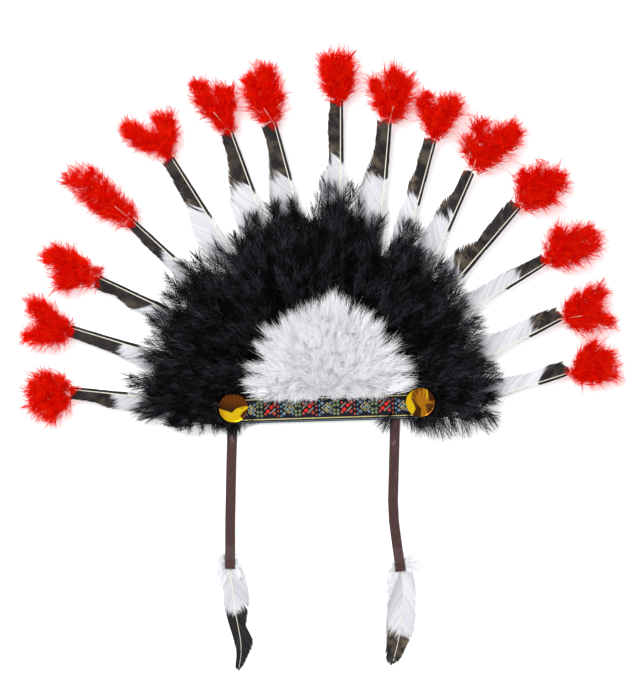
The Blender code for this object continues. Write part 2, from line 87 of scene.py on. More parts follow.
# The fan's centre, in the middle of the ribbon's upper edge, and the discs
RIBBON_LOW, RIBBON_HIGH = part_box("ribbon_band")
CENTRE = np.array((0.0, RIBBON_HIGH.y, 0.0))
DISC_BOXES = {side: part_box("disc_" + side) for side in SIDES}
DISC_MIDDLES = {
    side: np.array(((low.x + high.x) / 2, (low.y + high.y) / 2)) for side, (low, high) in DISC_BOXES.items()
}
DISC_RADIUS = (DISC_BOXES["left"][1].x - DISC_BOXES["left"][0].x) / 2
DISC_SIDES = 96
# The step between the bearings at which a fan's reach is measured, and its heart's points across
FAN_STEP_DEG = 2.5
HEART_COLUMNS = 9
# The lowest and highest places of a strand, the line below which loose down is thinned, and how
# deep below it which share is left
LOWEST = 0.0006
HIGHEST = CAD_BOX[1][2] + 0.008
HEM = -0.0115
HEM_DEPTH = 0.009
HEM_SHARE = 0.12
# The fourth mark tells a quill and the plain heart under a fan from the down round them; the heart takes
# the down's painted root shade
SHAFT_MARK = (0.0, 0.0, 0.0, -1.0)
HEART_MARK = (0.0, 0.0, 0.0, 1.0)

# Where each long feather turns dark, as a share of its length from the foot: on the wide side at
# the shaft, how much further out at the vane's edge, on the narrow side, how brown it is, and how
# far a dark tail goes back along the edge
Feather = namedtuple("Feather", "dark ragged narrow_dark brown tail")
FEATHER_MARKS = [Feather(*row) for row in (
    (0.72, -0.02, 0.62, 0.30, 0.03), (0.66, 0.01, 0.56, 0.15, 0.03), (0.61, 0.12, 0.50, 0.30, 0.00),
    (0.73, -0.06, 0.65, 0.35, 0.02), (0.65, 0.08, 0.61, 0.55, 0.00), (0.68, 0.02, 0.65, 0.40, 0.06),
    (0.67, 0.05, 0.65, 0.75, 0.13), (0.73, 0.00, 0.69, 0.60, 0.16), (0.69, 0.04, 0.69, 0.65, 0.07),
    (0.66, 0.03, 0.62, 0.80, 0.00), (0.73, 0.00, 0.63, 0.60, 0.02), (0.47, 0.09, 0.48, 0.85, 0.00),
    (0.76, 0.07, 0.71, 0.45, 0.05), (0.81, 0.03, 0.74, 0.80, 0.00), (0.79, 0.10, 0.78, 0.40, 0.00),
)]
# How far each vane's wide side reaches from the shaft, in mm, from the tip inwards
EDGE_STEP = 10.0
FEATHER_EDGES = (
    (10.4, 10.7, 11.2, 13.5, 15.0, 15.6, 16.6, 19.0, 20.8, 21.0),
    (10.4, 10.4, 11.4, 11.7, 12.0, 13.0, 15.0, 18.0, 19.8, 19.0),
    (11.7, 11.4, 10.1, 12.5, 14.6, 15.0, 17.0, 19.0, 20.0, 20.0),
    (8.3, 8.8, 9.9, 9.9, 9.9, 9.9, 10.7, 11.0, 12.0, 13.0),
    (11.2, 11.4, 11.7, 12.0, 12.5, 15.0, 18.5, 21.6, 22.9, 23.4),
    (10.4, 11.2, 12.0, 14.6, 18.7, 20.8, 25.2, 26.8, 27.6, 27.0),
    (13.0, 12.5, 13.0, 14.6, 16.4, 20.3, 23.4, 25.0, 25.7, 25.5),
    (11.0, 12.0, 12.5, 12.7, 12.5, 12.0, 12.5, 19.8, 21.0, 20.0),
    (12.5, 12.7, 13.0, 13.5, 16.5, 19.8, 22.9, 25.0, 25.5, 25.0),
    (11.2, 11.7, 12.0, 11.2, 14.8, 13.8, 13.5, 16.4, 16.9, 17.0),
    (9.4, 9.6, 9.9, 15.0, 17.0, 18.5, 19.5, 20.3, 22.9, 23.0),
    (11.2, 13.0, 12.2, 12.0, 11.2, 9.9, 16.4, 21.3, 22.4, 23.0),
    (9.9, 10.9, 12.0, 13.3, 15.0, 14.6, 15.0, 15.5, 16.0, 17.0),
    (13.0, 15.0, 15.9, 16.4, 16.9, 17.7, 19.0, 20.0, 21.0, 21.0),
    (13.3, 13.5, 12.5, 12.5, 13.8, 15.0, 16.5, 18.0, 19.0, 19.0),
)
# How far the barbs of the wide and the narrow side reach past the tip and at which angle they leave
# the quill, how far apart barbs are and their steps, how much lower the vane's edge lies than its
# middle at this width, how much of the foot is bare, and the quills' radii at the foot and the tip
VANE_OVERRUNS = (0.004, 0.002)
BARB_ANGLES_DEG = (33.0, 22.0)
BARB_SPACING = 0.00075
BARB_STEPS = 5
VANE_CAMBER, CAMBER_WIDTH = 0.0014, 0.017
BARE_QUILL = 0.024
QUILL_RADII = (0.0011, 0.0005)

# Each red tuft's puffs of down, in mm: how far ahead of its feather's tip and how far towards the
# wide side the middle lies, and the radius
TUFT_PUFFS = (
    ((21, 27, 9), (13, 16, 9), (36, 19, 9), (24, 9, 13), (37, 8, 9), (38, -3, 9), (31, -9, 7),
     (17, -6, 9), (6, 3, 6)),
    ((41, 21, 5), (30, 17, 8), (21, 18, 8), (8, 16, 6), (24, 8, 12), (43, -9, 8), (36, -12, 7),
     (28, -4, 10), (11, 0, 9)),
    ((56, 2, 8), (52, -6, 8), (38, -4, 10), (40, 8, 9), (32, 21, 9), (28, 12, 11), (24, 2, 12),
     (11, 6, 8), (7, -7, 5)),
    ((78, 11, 8), (70, 3, 10), (66, -8, 6), (58, 10, 11), (54, -3, 10), (42, 9, 11), (40, -3, 10),
     (28, 7, 12), (26, -3, 11), (13, 4, 11), (12, -2, 10)),
    ((49, 23, 8), (46, 16, 7), (37, 19, 9), (29, 11, 10), (21, 1, 11), (29, -10, 9), (43, -11, 8),
     (37, -20, 6), (23, -13, 7), (10, 1, 6)),
    ((58, 19, 5), (55, 12, 7), (44, 14, 9), (31, 11, 9), (44, -4, 6), (41, -12, 6), (31, -7, 9),
     (21, 3, 11), (11, 3, 8)),
    ((55, -8, 7), (57, -2, 7), (49, 10, 10), (44, -6, 11), (37, 14, 9), (31, 5, 12), (28, -7, 10),
     (24, 15, 7), (16, 5, 12), (12, -3, 8)),
    ((43, 16, 6), (43, 6, 8), (43, -5, 8), (32, 14, 9), (32, 3, 11), (32, -5, 9), (20, 12, 9),
     (20, 1, 11), (20, -6, 8), (9, 6, 7), (9, -3, 7)),
    ((40, 19, 6), (33, 15, 7), (24, 10, 9), (53, -1, 6), (48, 3, 7), (49, -8, 7), (41, -15, 7),
     (37, -3, 12), (31, -12, 9), (23, -3, 12), (14, 3, 9), (12, -7, 8)),
    ((37, 23, 6), (44, 19, 5), (31, 15, 8), (24, 10, 9), (42, -1, 7),
     (44, -8, 8), (36, -12, 7), (33, -2, 9), (21, 3, 11), (23, -4, 8), (11, 1, 8)),
    ((57, 10, 5), (49, 15, 6), (48, 7, 8), (31, 15, 8), (24, 10, 9), (33, -1, 13), (62, -19, 7),
     (55, -24, 9), (54, -13, 8), (41, -13, 13), (44, -22, 9), (28, -11, 11), (15, 2, 9), (18, -6, 9)),
    ((50, 11, 3), (41, 9, 6), (32, 21, 3), (27, 16, 7), (32, 7, 9), (49, -6, 8), (54, -13, 5),
     (39, -2, 10), (49, -19, 6), (39, -12, 9), (31, -20, 6), (27, -6, 12), (23, -16, 7), (18, 5, 10),
     (15, -7, 9), (6, 1, 5)),
    ((55, 6, 7), (57, -3, 7), (54, -12, 6), (46, 7, 8), (45, -3, 11), (41, -11, 9), (32, 6, 10),
     (32, -6, 12), (29, 21, 6), (24, 15, 8), (19, 5, 12), (20, -8, 9), (9, 2, 8), (9, -4, 6)),
    ((51, 9, 5), (50, 2, 5), (42, 9, 7), (41, 2, 7), (31, 6, 10), (41, -8, 5), (33, -7, 8),
     (40, -21, 6), (44, -26, 5), (33, -16, 8), (24, -21, 6), (23, -6, 12), (20, 5, 9), (15, -13, 8),
     (11, -2, 8)),
    ((37, 19, 5), (31, 15, 8), (48, 2, 5), (41, 6, 8), (41, -3, 8), (46, -17, 4), (39, -13, 7),
     (31, -1, 13), (28, -11, 8), (23, 10, 9), (19, -1, 11), (18, -8, 8), (10, -4, 6)),
)
# How much wider than these radii the down fills its puffs
TUFT_FULLNESS = 1.10
# Pale quills that show on some tufts: how far ahead they reach and how far aside they end, in mm
TUFT_QUILLS = {3: (23, 1), 5: (24, 9), 6: (17, 6), 8: (17, -3), 13: (20, -7), 10: (14, 2)}

# The strap feathers, in rows of the share of their length, how far the shaft strays to the
# viewer's right, and how far the vane reaches to the left and to the right of it, in mm
STRAP_VANES = {
    "left": (
        (0.00, 0.0, 8.0, 9.0), (0.08, 0.2, 9.2, 12.0), (0.14, 0.3, 9.6, 14.0), (0.24, 0.8, 10.2, 15.8),
        (0.36, 1.2, 10.8, 16.8), (0.42, 1.5, 10.4, 16.8), (0.48, 2.0, 9.8, 13.2), (0.60, 3.6, 8.8, 8.2),
        (0.72, 5.0, 7.0, 12.4), (0.80, 5.0, 5.5, 11.5), (0.88, 3.8, 4.5, 7.0), (0.96, 1.5, 3.8, 4.0),
        (1.00, 0.5, 1.0, 1.0),
    ),
    "right": (
        (0.00, 0.5, 9.0, 8.0), (0.10, 1.4, 13.5, 11.5), (0.20, 3.4, 16.0, 13.2), (0.30, 5.0, 16.4, 13.6),
        (0.40, 5.6, 16.4, 14.0), (0.54, 5.4, 15.8, 14.8), (0.64, 5.2, 15.5, 14.0), (0.74, 4.4, 12.8, 12.2),
        (0.84, 3.2, 11.0, 8.8), (0.92, 1.8, 10.0, 7.2), (0.98, 0.6, 5.0, 4.6), (1.00, 0.0, 1.0, 1.0),
    ),
}
# The wisps of loose down at their feet, in mm: how far down and aside each ends, and its barbs
STRAP_DOWN = {
    "left": (
        (-11, -17, 4), (-13, -8, 5), (-5, -14, 5), (5, -17, 4), (10, -15, 4), (22, -13, 4), (16, -9, 5),
        (-12, 7, 4), (-2, 11, 4), (9, 10, 4),
    ),
    "right": (
        (-3, 24, 5), (-17, 10, 3), (-15, 15, 4), (-9, 18, 6), (2, 19, 5), (14, -20, 3), (-4, -11, 5),
        (20, -16, 4), (34, -17, 3), (9, -12, 5),
    ),
}
STRAP_SEEDS = {"left": 4, "right": 5}
STRAP_DOWN_BARBS = 260
STRAP_BARB_SPACING = 0.0006
STRAP_QUILL_RADII = (0.0007, 0.0003)
# Where they turn dark, how much further out at the left and the right edge, and how brown they are
STRAP_DARK = {"left": (0.475, -0.02, -0.05, 0.0), "right": (0.715, -0.075, 0.0, 0.9)}

# How locks look: their strands, how far those spread, how much they gather again and curl, their
# width, and the share of them that stays deep below the hem
LockStyle = namedtuple("LockStyle", "strands spread gather curl width hem_share", defaults=(HEM_SHARE,))
RUFF_LOCK = LockStyle(19, 0.32, 0.30, 0.50, 0.00040)
RIM_LOCK = LockStyle(14, 0.32, 0.30, 0.50, 0.00042)
COLLAR_LOCK = LockStyle(24, 0.30, 0.35, 0.50, 0.00040, 1.0)
SKIRT_LOCK = LockStyle(8, 0.17, 0.50, 0.50, 0.00050, 1.0)
WHITE_LOCK = LockStyle(32, 0.34, 0.40, 0.55, 0.00030)
SPIKE_LOCK = LockStyle(26, 0.16, 0.70, 0.35, 0.00026)
WISP_LOCK = LockStyle(5, 0.14, 0.70, 0.45, 0.00048)
TONGUE_LOCK = LockStyle(30, 0.22, 0.60, 0.30, 0.00026)
TUFT_LOCK = LockStyle(10, 0.28, 0.50, 0.55, 0.00050, 1.0)
TUFT_WISP = LockStyle(3, 0.12, 0.45, 0.55, 0.00054, 1.0)
# The layers of a red tuft: which shares of a puff's radius they fill, how long their strands are
# and how much of a strand lies inside the puff
TuftLayer = namedtuple("TuftLayer", "count style near far length inside")
TUFT_LAYERS = (
    TuftLayer(520, TUFT_LOCK, 0.0, 1.1, 0.0100, 0.75),
    TuftLayer(300, TUFT_WISP, 0.8, 1.0, 0.0230, 0.30),
)

# How plumes look: how far their barbs roll round the shaft, their width, how much they clump, the
# share of long wisps, the steps of a barb, how far its end strays, and how it forks off at the
# plume's foot and end, in degrees
PlumeStyle = namedtuple("PlumeStyle", "roll width clump wisps steps stray forks")
RUFF_PLUME = PlumeStyle(0.55, 0.00040, 0.40, 0.08, 2, 0.09, (72.0, 44.0))
FRINGE_PLUME = PlumeStyle(0.45, 0.00044, 0.12, 0.10, 3, 0.05, (52.0, 28.0))
STRAP_PLUME = PlumeStyle(0.70, 0.00026, 0.30, 0.10, 2, 0.09, (86.0, 62.0))
PLUME_SHAFT_WIDTH = 0.0005
PLUME_SHAFT_STEPS = 5
# Rows of black plumes that lie outwards over the ruff: how many, from and to which share of the
# way across it, their longest barb, how many barbs and how they look
PlumeRow = namedtuple("PlumeRow", "part count start finish barb barbs style")
RUFF_PLUMES = (
    PlumeRow("inner", 46, 0.02, 0.46, 0.0090, 300, RUFF_PLUME),
    PlumeRow("inner", 48, 0.22, 0.68, 0.0095, 300, RUFF_PLUME),
    PlumeRow("outer", 60, 0.42, 0.80, 0.0100, 300, RUFF_PLUME),
    PlumeRow("outer", 66, 0.54, 0.87, 0.0100, 190, RUFF_PLUME),
    PlumeRow("outer", 96, 0.64, 1.03, 0.0200, 74, FRINGE_PLUME),
)

# The black ruff: how many locks it has and how long they are, where its two parts meet, how far it
# may rise over its solid, and the locks of its inner rim and of the collars round the discs
RUFF_LOCKS = 2500
RUFF_STRAND = 0.0185
RUFF_SPLIT = 0.66
RUFF_HEADROOM = 0.004
INNER_RIM_LOCKS = 170
COLLAR_LOCKS = 105
COLLAR_ARC = {"left": (50.0, 285.0), "right": (-105.0, 130.0)}
# How far inside its solid's edge the black fringe ends, in mm, by bearing in degrees
RUFF_INSETS = (
    (-10, 7), (0, 9), (20, 11), (45, 10), (59, 4), (63, 6), (65.5, 34), (69.5, 34), (72.5, 8), (76, 0),
    (122, 1), (126, 14), (130, 16), (134, 3), (138, 0), (190, 0),
)
# Black locks that hang out below the ribbon's ends, in mm: where they start and how far they go
RUFF_SKIRT = (
    (-150, -4, -7, -10), (-138, -8, -2, -13), (-127, -10, 1, -13), (-116, -10, 3, -11),
    (-108, -12, -2, -8), (-88, -10, 2, -9), (-83, -10, 5, -7), (-80, -9, 9, -5), (66, -10, -17, -13),
    (64, -10, -12, -18), (78, -8, 1, -14), (84, -8, 2, -19), (89, -9, 5, -25), (95, -9, 3, -24),
    (101, -10, 8, -28), (107, -11, 5, -24), (114, -12, 6, -24), (124, -13, 6, -24),
    (136, -14, 9, -22), (148, -13, 13, -18), (158, -10, 15, -14),
)

# The white centre, and how far inside its solid's edge its down is rooted, in mm, by bearing
WHITE_LOCKS = 1350
WHITE_STRAND = 0.0125
WHITE_INSETS = (
    (0, 21), (20, 23), (42, 28), (58, 27), (70, 25), (87, 20), (105, 24), (120, 27), (133, 29),
    (150, 27), (180, 25),
)
# Long wisps of it that stand out over the black: their length, their bearings in degrees with
# their reaches in mm, how many fine ones lie between, and how far all may rise over the solid
SPIKE_LENGTH = 0.020
WHITE_SPIKES = (
    (8, 94), (22, 99), (33, 97), (51, 100), (62, 98), (75, 101), (81, 103), (87, 108), (98, 102),
    (112, 97), (130, 99), (142, 96), (157, 93), (168, 92),
)
WHITE_WISPS = 420
WISP_HEADROOM = 0.008
# Locks of it that lie over the ribbon: where along it and how long, in mm
WHITE_TONGUES = ((-34, 8.5), (-30, 10.5), (-26, 8.0), (-66, 6.0), (-60, 5.5), (52, 4.5))

# The woven ribbon: its cell, its pattern's repeat and where the pattern lies
CELL = 0.0005
REPEAT = 38.3
FIRST_REPEAT = -29.2
PATTERN_RISE = 0.8
THREADS = {
    "ground": (0.007, 0.007, 0.016),
    "moss": (0.180, 0.235, 0.110),
    "pine": (0.016, 0.030, 0.014),
    "slate": (0.220, 0.290, 0.350),
    "coral": (0.560, 0.075, 0.028),
    "wine": (0.110, 0.012, 0.012),
    "scarlet": (0.780, 0.022, 0.009),
    "sky": (0.120, 0.330, 0.470),
    "gold": (0.470, 0.390, 0.120),
    "cream": (0.460, 0.430, 0.310),
    "edge": (0.760, 0.640, 0.260),
}
Motif = namedtuple("Motif", "along up wide high thread")
# Diamonds of one repeat, in mm from the green flowers' centre and the pattern's middle. The first
# ones are mirrored up and down.
MIRRORED = [Motif(*row) for row in (
    (-1.9, 2.6, 1.8, 1.7, "moss"), (1.9, 2.6, 1.8, 1.7, "moss"), (-1.9, 6.2, 1.8, 1.7, "moss"),
    (1.9, 6.2, 1.8, 1.7, "moss"), (0.0, 4.4, 1.0, 1.0, "pine"), (33.0, 4.7, 1.5, 1.6, "slate"),
    (33.0, 4.7, 0.5, 0.6, "ground"), (5.7, 4.9, 1.5, 1.4, "coral"), (14.8, 4.4, 2.0, 1.9, "coral"),
    (14.8, 4.4, 0.9, 0.9, "wine"), (18.6, 6.9, 1.2, 1.2, "coral"), (18.6, 2.1, 1.2, 1.2, "coral"),
    (21.6, 6.9, 1.1, 1.1, "sky"), (21.6, 2.2, 1.1, 1.1, "sky"), (24.5, 4.6, 2.1, 1.7, "slate"),
    (24.5, 4.6, 0.7, 0.6, "ground"),
)]
SINGLE = [Motif(*row) for row in (
    (8.2, -2.0, 2.3, 2.1, "scarlet"), (11.8, 1.9, 2.3, 2.1, "scarlet"), (29.5, 2.0, 1.2, 1.1, "gold"),
    (29.5, -2.0, 1.2, 1.1, "gold"), (27.4, 0.0, 1.3, 1.1, "sky"), (31.6, 0.0, 1.3, 1.1, "sky"),
)]
Line = namedtuple("Line", "along up to_along to_up thread")
DIAGONALS = [Line(*row) for row in (
    (4.6, -0.2, 10.0, 4.8, "cream"), (9.8, -4.8, 15.6, 0.4, "cream"), (24.2, 0.0, 29.5, 4.6, "cream"),
    (24.2, 0.0, 29.5, -4.6, "gold"), (29.5, 4.6, 34.8, 0.0, "gold"), (29.5, -4.6, 34.8, 0.0, "cream"),
    (27.4, -1.6, 31.4, 1.8, "cream"),
)]
LINE_HALF_WIDTH = 0.34
EDGE_LINES = (9.9, -9.9)
EDGE_LINE_HALF_WIDTH = 0.55
FAINT_LINE = -12.2
FAINT_LINE_HALF_WIDTH = 0.26

# Colours of feather, leatherette and felt, and their stops along a noise or a strand's tone
QUILL_COLOR = (0.70, 0.42, 0.34)
SHAFT_COLOR = (0.74, 0.71, 0.60)
MOTTLE_COLOR = (0.130, 0.100, 0.068)
# Paler colour of glue on the straps, with its shine painted in as a highlight.
GLUE_SHINE_COLOR = (0.235, 0.172, 0.162)
# The white vane's stops are greyed below its white as painted shade, more on some barbs than on others.
WHITE_VANE_STOPS = ((0.0, (0.46, 0.46, 0.49)), (0.5, (0.57, 0.57, 0.60)), (1.0, (0.67, 0.67, 0.69)))
DARK_VANE_STOPS = ((0.0, (0.004, 0.0036, 0.004)), (1.0, (0.026, 0.022, 0.022)))
MOTTLE_STOPS = ((0.45, (0.0, 0.0, 0.0)), (0.62, (1.0, 1.0, 1.0)))
LEATHER_STOPS = ((0.30, (0.030, 0.0100, 0.0090)), (0.70, (0.060, 0.0235, 0.0215)))
GLUE_SHINE_STOPS = ((0.60, (0.0, 0.0, 0.0)), (0.72, (0.75, 0.75, 0.75)))
FELT_STOPS = ((0.30, (0.007, 0.007, 0.008)), (0.75, (0.020, 0.020, 0.023)))


def node_points(name):
    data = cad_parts[name].data
    points = np.empty(len(data.vertices) * 3)
    data.vertices.foreach_get("co", points)
    return points.reshape(-1, 3)


def node_tree(name):
    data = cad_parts[name].data
    return BVHTree.FromPolygons(node_points(name).tolist(), [p.vertices[:] for p in data.polygons])


def top_of(tree, points, otherwise):
    """The height of a solid's upper side at each point, or another height beside it."""
    heights = np.full(len(points), otherwise)
    for number, (x, y, _) in enumerate(points):
        hit = tree.ray_cast(Vector((x, y, 1.0)), Vector((0.0, 0.0, -1.0)))[0]
        if hit is not None:
            heights[number] = hit.z
    return heights


def unit(rows):
    return rows / np.maximum(np.linalg.norm(rows, axis=-1, keepdims=True), 1e-12)


def ease(low, high, at):
    """0 below low, 1 above high, and smooth between them."""
    share = np.clip((at - low) / (high - low), 0.0, 1.0)
    return share * share * (3.0 - 2.0 * share)


def on_curve(curve, share):
    """Points of quadratic curves, given as start, bend and end, at these shares of their length."""
    start, bend, end = curve
    t = share[..., None]
    return (1 - t) ** 2 * start + 2 * t * (1 - t) * bend + t**2 * end


def along_curve(curve, share):
    start, bend, end = curve
    t = share[..., None]
    return unit((1 - t) * (bend - start) + t * (end - bend))


def strips(curve, facing, width, steps, taper=1.6):
    """Thin curved strips that end in a point, one for each row of the curves.

    Returns their points, triangles and each point's share of the way along its strip.
    """
    start, _, end = curve
    count = len(start)
    share = np.linspace(0.0, 1.0, steps + 1)[:-1]
    spread = [part[:, None, :] for part in curve]
    line = on_curve(spread, np.broadcast_to(share, (count, steps)))
    across = unit(np.cross(end - start, facing))[:, None, :]
    half = (width[:, None] / 2 * (1.0 - 0.75 * share**taper))[..., None]
    sides = np.stack((line - across * half, line + across * half), axis=2)
    points = np.concatenate((sides.reshape(count, steps * 2, 3), end[:, None, :]), axis=1)
    one = []
    for step in range(steps - 1):
        corner = 2 * step
        one += [(corner, corner + 1, corner + 3), (corner, corner + 3, corner + 2)]
    one.append((2 * steps - 2, 2 * steps - 1, 2 * steps))
    first = np.arange(count)[:, None, None] * (2 * steps + 1)
    faces = (np.array(one)[None] + first).reshape(-1, 3)
    along = np.append(np.repeat(share, 2), 1.0)
    return points.reshape(-1, 3), faces, np.tile(along, count)


class Batch:
    """Points, triangles and point marks of one piece, gathered bit by bit."""

    def __init__(self):
        self.points = []
        self.faces = []
        self.marks = []
        self.count = 0

    def add(self, points, faces, marks):
        self.points.append(points)
        self.faces.append(np.asarray(faces) + self.count)
        self.marks.append(np.broadcast_to(marks, (len(points), 4)))
        self.count += len(points)

    def mesh(self, name):
        points = np.concatenate(self.points)
        points[:, 2] = np.clip(points[:, 2], LOWEST, HIGHEST)
        faces = np.concatenate(self.faces)
        mesh = bpy.data.meshes.new(name)
        mesh.vertices.add(len(points))
        mesh.vertices.foreach_set("co", points.astype(np.float32).ravel())
        mesh.loops.add(faces.size)
        mesh.loops.foreach_set("vertex_index", faces.astype(np.int32).ravel())
        mesh.polygons.add(len(faces))
        mesh.polygons.foreach_set("loop_start", np.arange(0, faces.size, 3, dtype=np.int32))
        mesh.update(calc_edges=True)
        marks = mesh.attributes.new("marks", "FLOAT_COLOR", "POINT")
        marks.data.foreach_set("color", np.concatenate(self.marks).astype(np.float32).ravel())
        mesh.shade_smooth()
        return mesh

    def piece(self, name, material, replaced):
        return add_piece(name, self.mesh(name), material, replaced)


def add_object(name, data):
    thing = bpy.data.objects.new(name, data)
    bpy.context.scene.collection.objects.link(thing)
    return thing


def add_piece(name, mesh, material, replaced):
    mesh.materials.append(material)
    thing = add_object(name, mesh)
    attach(thing, "root")
    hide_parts(replaced)
    return thing


def add_strands(batch, curve, facing, width, steps, tone, place):
    """Adds strips marked with how far along them a point is, their tone and place, and no kind."""
    points, faces, along = strips(curve, facing, width, steps)
    tone, place = np.repeat(tone, 2 * steps + 1), np.repeat(place, 2 * steps + 1)
    batch.add(points, faces, np.stack((along, tone, place, np.zeros_like(along)), axis=1))


def clear_of_discs(chance, curve):
    """Moves strands that would lie over a disc out to its rim, and says which then stay off it."""
    kept = np.ones(len(curve[0]), dtype=bool)
    for side, middle in DISC_MIDDLES.items():
        under = DISC_BOXES[side][0].z
        for part in curve:
            off = part[:, :2] - middle
            away = np.maximum(np.linalg.norm(off, axis=1), 1e-6)
            rim = DISC_RADIUS + chance.uniform(0.0005, 0.0030, len(away))
            over = (away < rim) & (part[:, 2] > under - 0.001)
            part[over, :2] = (middle + off * (rim / away)[:, None])[over]
        for share in (0.0, 0.25, 0.5, 0.75, 1.0):
            spot = on_curve(curve, np.full(len(kept), share))
            away = np.linalg.norm(spot[:, :2] - middle, axis=1)
            kept &= (away > DISC_RADIUS + 0.0002) | (spot[:, 2] < under - 0.0005)
    return kept


def in_hem(chance, ends, share=HEM_SHARE):
    """Thins out strands that end below the band, where the down hangs loose."""
    hem = HEM + 0.0022 * np.sin(ends[:, 0] * 210.0) + 0.0015 * np.sin(ends[:, 0] * 470.0 + 1.0)
    below = ease(hem, hem - HEM_DEPTH, ends[:, 1]) * (ends[:, 1] > -0.1)
    return chance.random(len(ends)) < share ** (2.0 * below)


def leaning(ahead, out, angle):
    """Directions that lean by an angle from ahead to out."""
    return ahead * np.cos(angle)[:, None] + out * np.sin(angle)[:, None]


def plumes(batch, chance, spines, barb, barbs, style):
    """Down plumes: a fine shaft each, with curved barbs that fork off round it.

    spines are the plumes' curves, barb each plume's longest barb and barbs how many each has.
    """
    count = len(spines[0])
    total = count * barbs
    owner = np.repeat(np.arange(count), barbs)
    place = (np.arange(total) % barbs + chance.random(total)) / barbs
    place = 0.08 + 0.92 * place**0.8
    spine = [part[owner] for part in spines]
    base = on_curve(spine, place)
    ahead = along_curve(spine, place)
    across = unit(np.cross(UP, ahead))
    over = np.cross(ahead, across)
    side = np.where(chance.random(total) < 0.5, 1.0, -1.0)
    rolled = chance.normal(0.0, style.roll, total)
    out = across * (side * np.cos(rolled))[:, None] + over * np.sin(rolled)[:, None]
    near, far = style.forks
    fork = np.radians(near + (far - near) * place) * chance.uniform(0.45, 1.1, total)
    profile = 0.65 + 0.35 * np.sin(np.pi * place**0.8)
    length = barb[owner] * profile * chance.uniform(0.6, 1.3, total)
    loose = chance.random(total) < style.wisps
    length = (length * np.where(loose, chance.uniform(1.4, 2.1, total), 1.0))[:, None]
    turned = fork * chance.uniform(0.0, 0.9, total)
    bend = base + leaning(ahead, out, fork) * length * 0.5
    end = bend + leaning(ahead, out, turned) * length * 0.5
    end += chance.normal(0.0, style.stray, (total, 3)) * length
    lock = (place * 14).astype(int) * 2 + (side > 0)
    lock += owner * (lock.max() + 1)
    sizes = np.maximum(np.bincount(lock), 1)
    middle = np.stack([np.bincount(lock, end[:, axis]) for axis in range(3)], axis=1)
    middle = (middle / sizes[:, None])[lock]
    end += (middle - end) * (style.clump * chance.random(total) * ~loose)[:, None]
    facing = unit(UP + 0.6 * chance.normal(0.0, 1.0, (total, 3)))
    thick = style.width * chance.uniform(0.6, 1.25, total) * np.where(loose, 0.6, 1.0)
    tone = 0.5 * chance.random(total) + 0.5 * chance.random(count)[owner]
    curve = (base, bend, end)
    kept = clear_of_discs(chance, curve) & in_hem(chance, end)
    curve = [part[kept] for part in curve]
    add_strands(batch, curve, facing[kept], thick[kept], style.steps, tone[kept], place[kept])
    facing, width = np.tile(UP, (count, 1)), np.full(count, PLUME_SHAFT_WIDTH)
    add_strands(batch, spines, facing, width, PLUME_SHAFT_STEPS, np.full(count, 0.4), np.zeros(count))


def locks(batch, chance, roots, ways, lengths, style, top):
    """Locks of fine down: strands that leave a root together, curl and gather at their ends."""
    count = len(roots)
    owner = np.repeat(np.arange(count), style.strands)
    total = len(owner)
    way = unit(ways[owner] + style.spread * chance.normal(0.0, 1.0, (total, 3)))
    length = lengths[owner] * chance.uniform(0.5, 1.1, total)
    loose = chance.random(total) < 0.07
    length = (length * np.where(loose, 1.4, 1.0))[:, None]
    start = roots[owner] + chance.normal(0.0, 0.0018, (total, 3))
    swing = chance.normal(0.0, style.curl, (count, 3))[owner]
    swing += chance.normal(0.0, 0.6 * style.curl, (total, 3))
    bend = start + way * length * 0.5
    end = bend + unit(way + swing) * length * 0.5
    goal = (roots + ways * lengths[:, None])[owner]
    end += (goal - end) * (style.gather * chance.random(total) * ~loose)[:, None]
    end[:, 2] = np.minimum(end[:, 2], top)
    curve = (start, bend, end)
    kept = clear_of_discs(chance, curve) & in_hem(chance, end, style.hem_share)
    curve = [part[kept] for part in curve]
    total = int(kept.sum())
    facing = unit(UP + 0.6 * chance.normal(0.0, 1.0, (total, 3)))
    thick = style.width * chance.uniform(0.6, 1.25, total) * np.where(loose[kept], 0.65, 1.0)
    tone = 0.45 * chance.random(total) + 0.55 * chance.random(count)[owner[kept]]
    add_strands(batch, curve, facing, thick, 2, tone, np.ones(total))


def fan_places(bearing, reach, level):
    turn = np.radians(bearing)
    level = np.broadcast_to(level, np.shape(reach))
    return np.stack((np.cos(turn) * reach, np.sin(turn) * reach, level), axis=1) + CENTRE


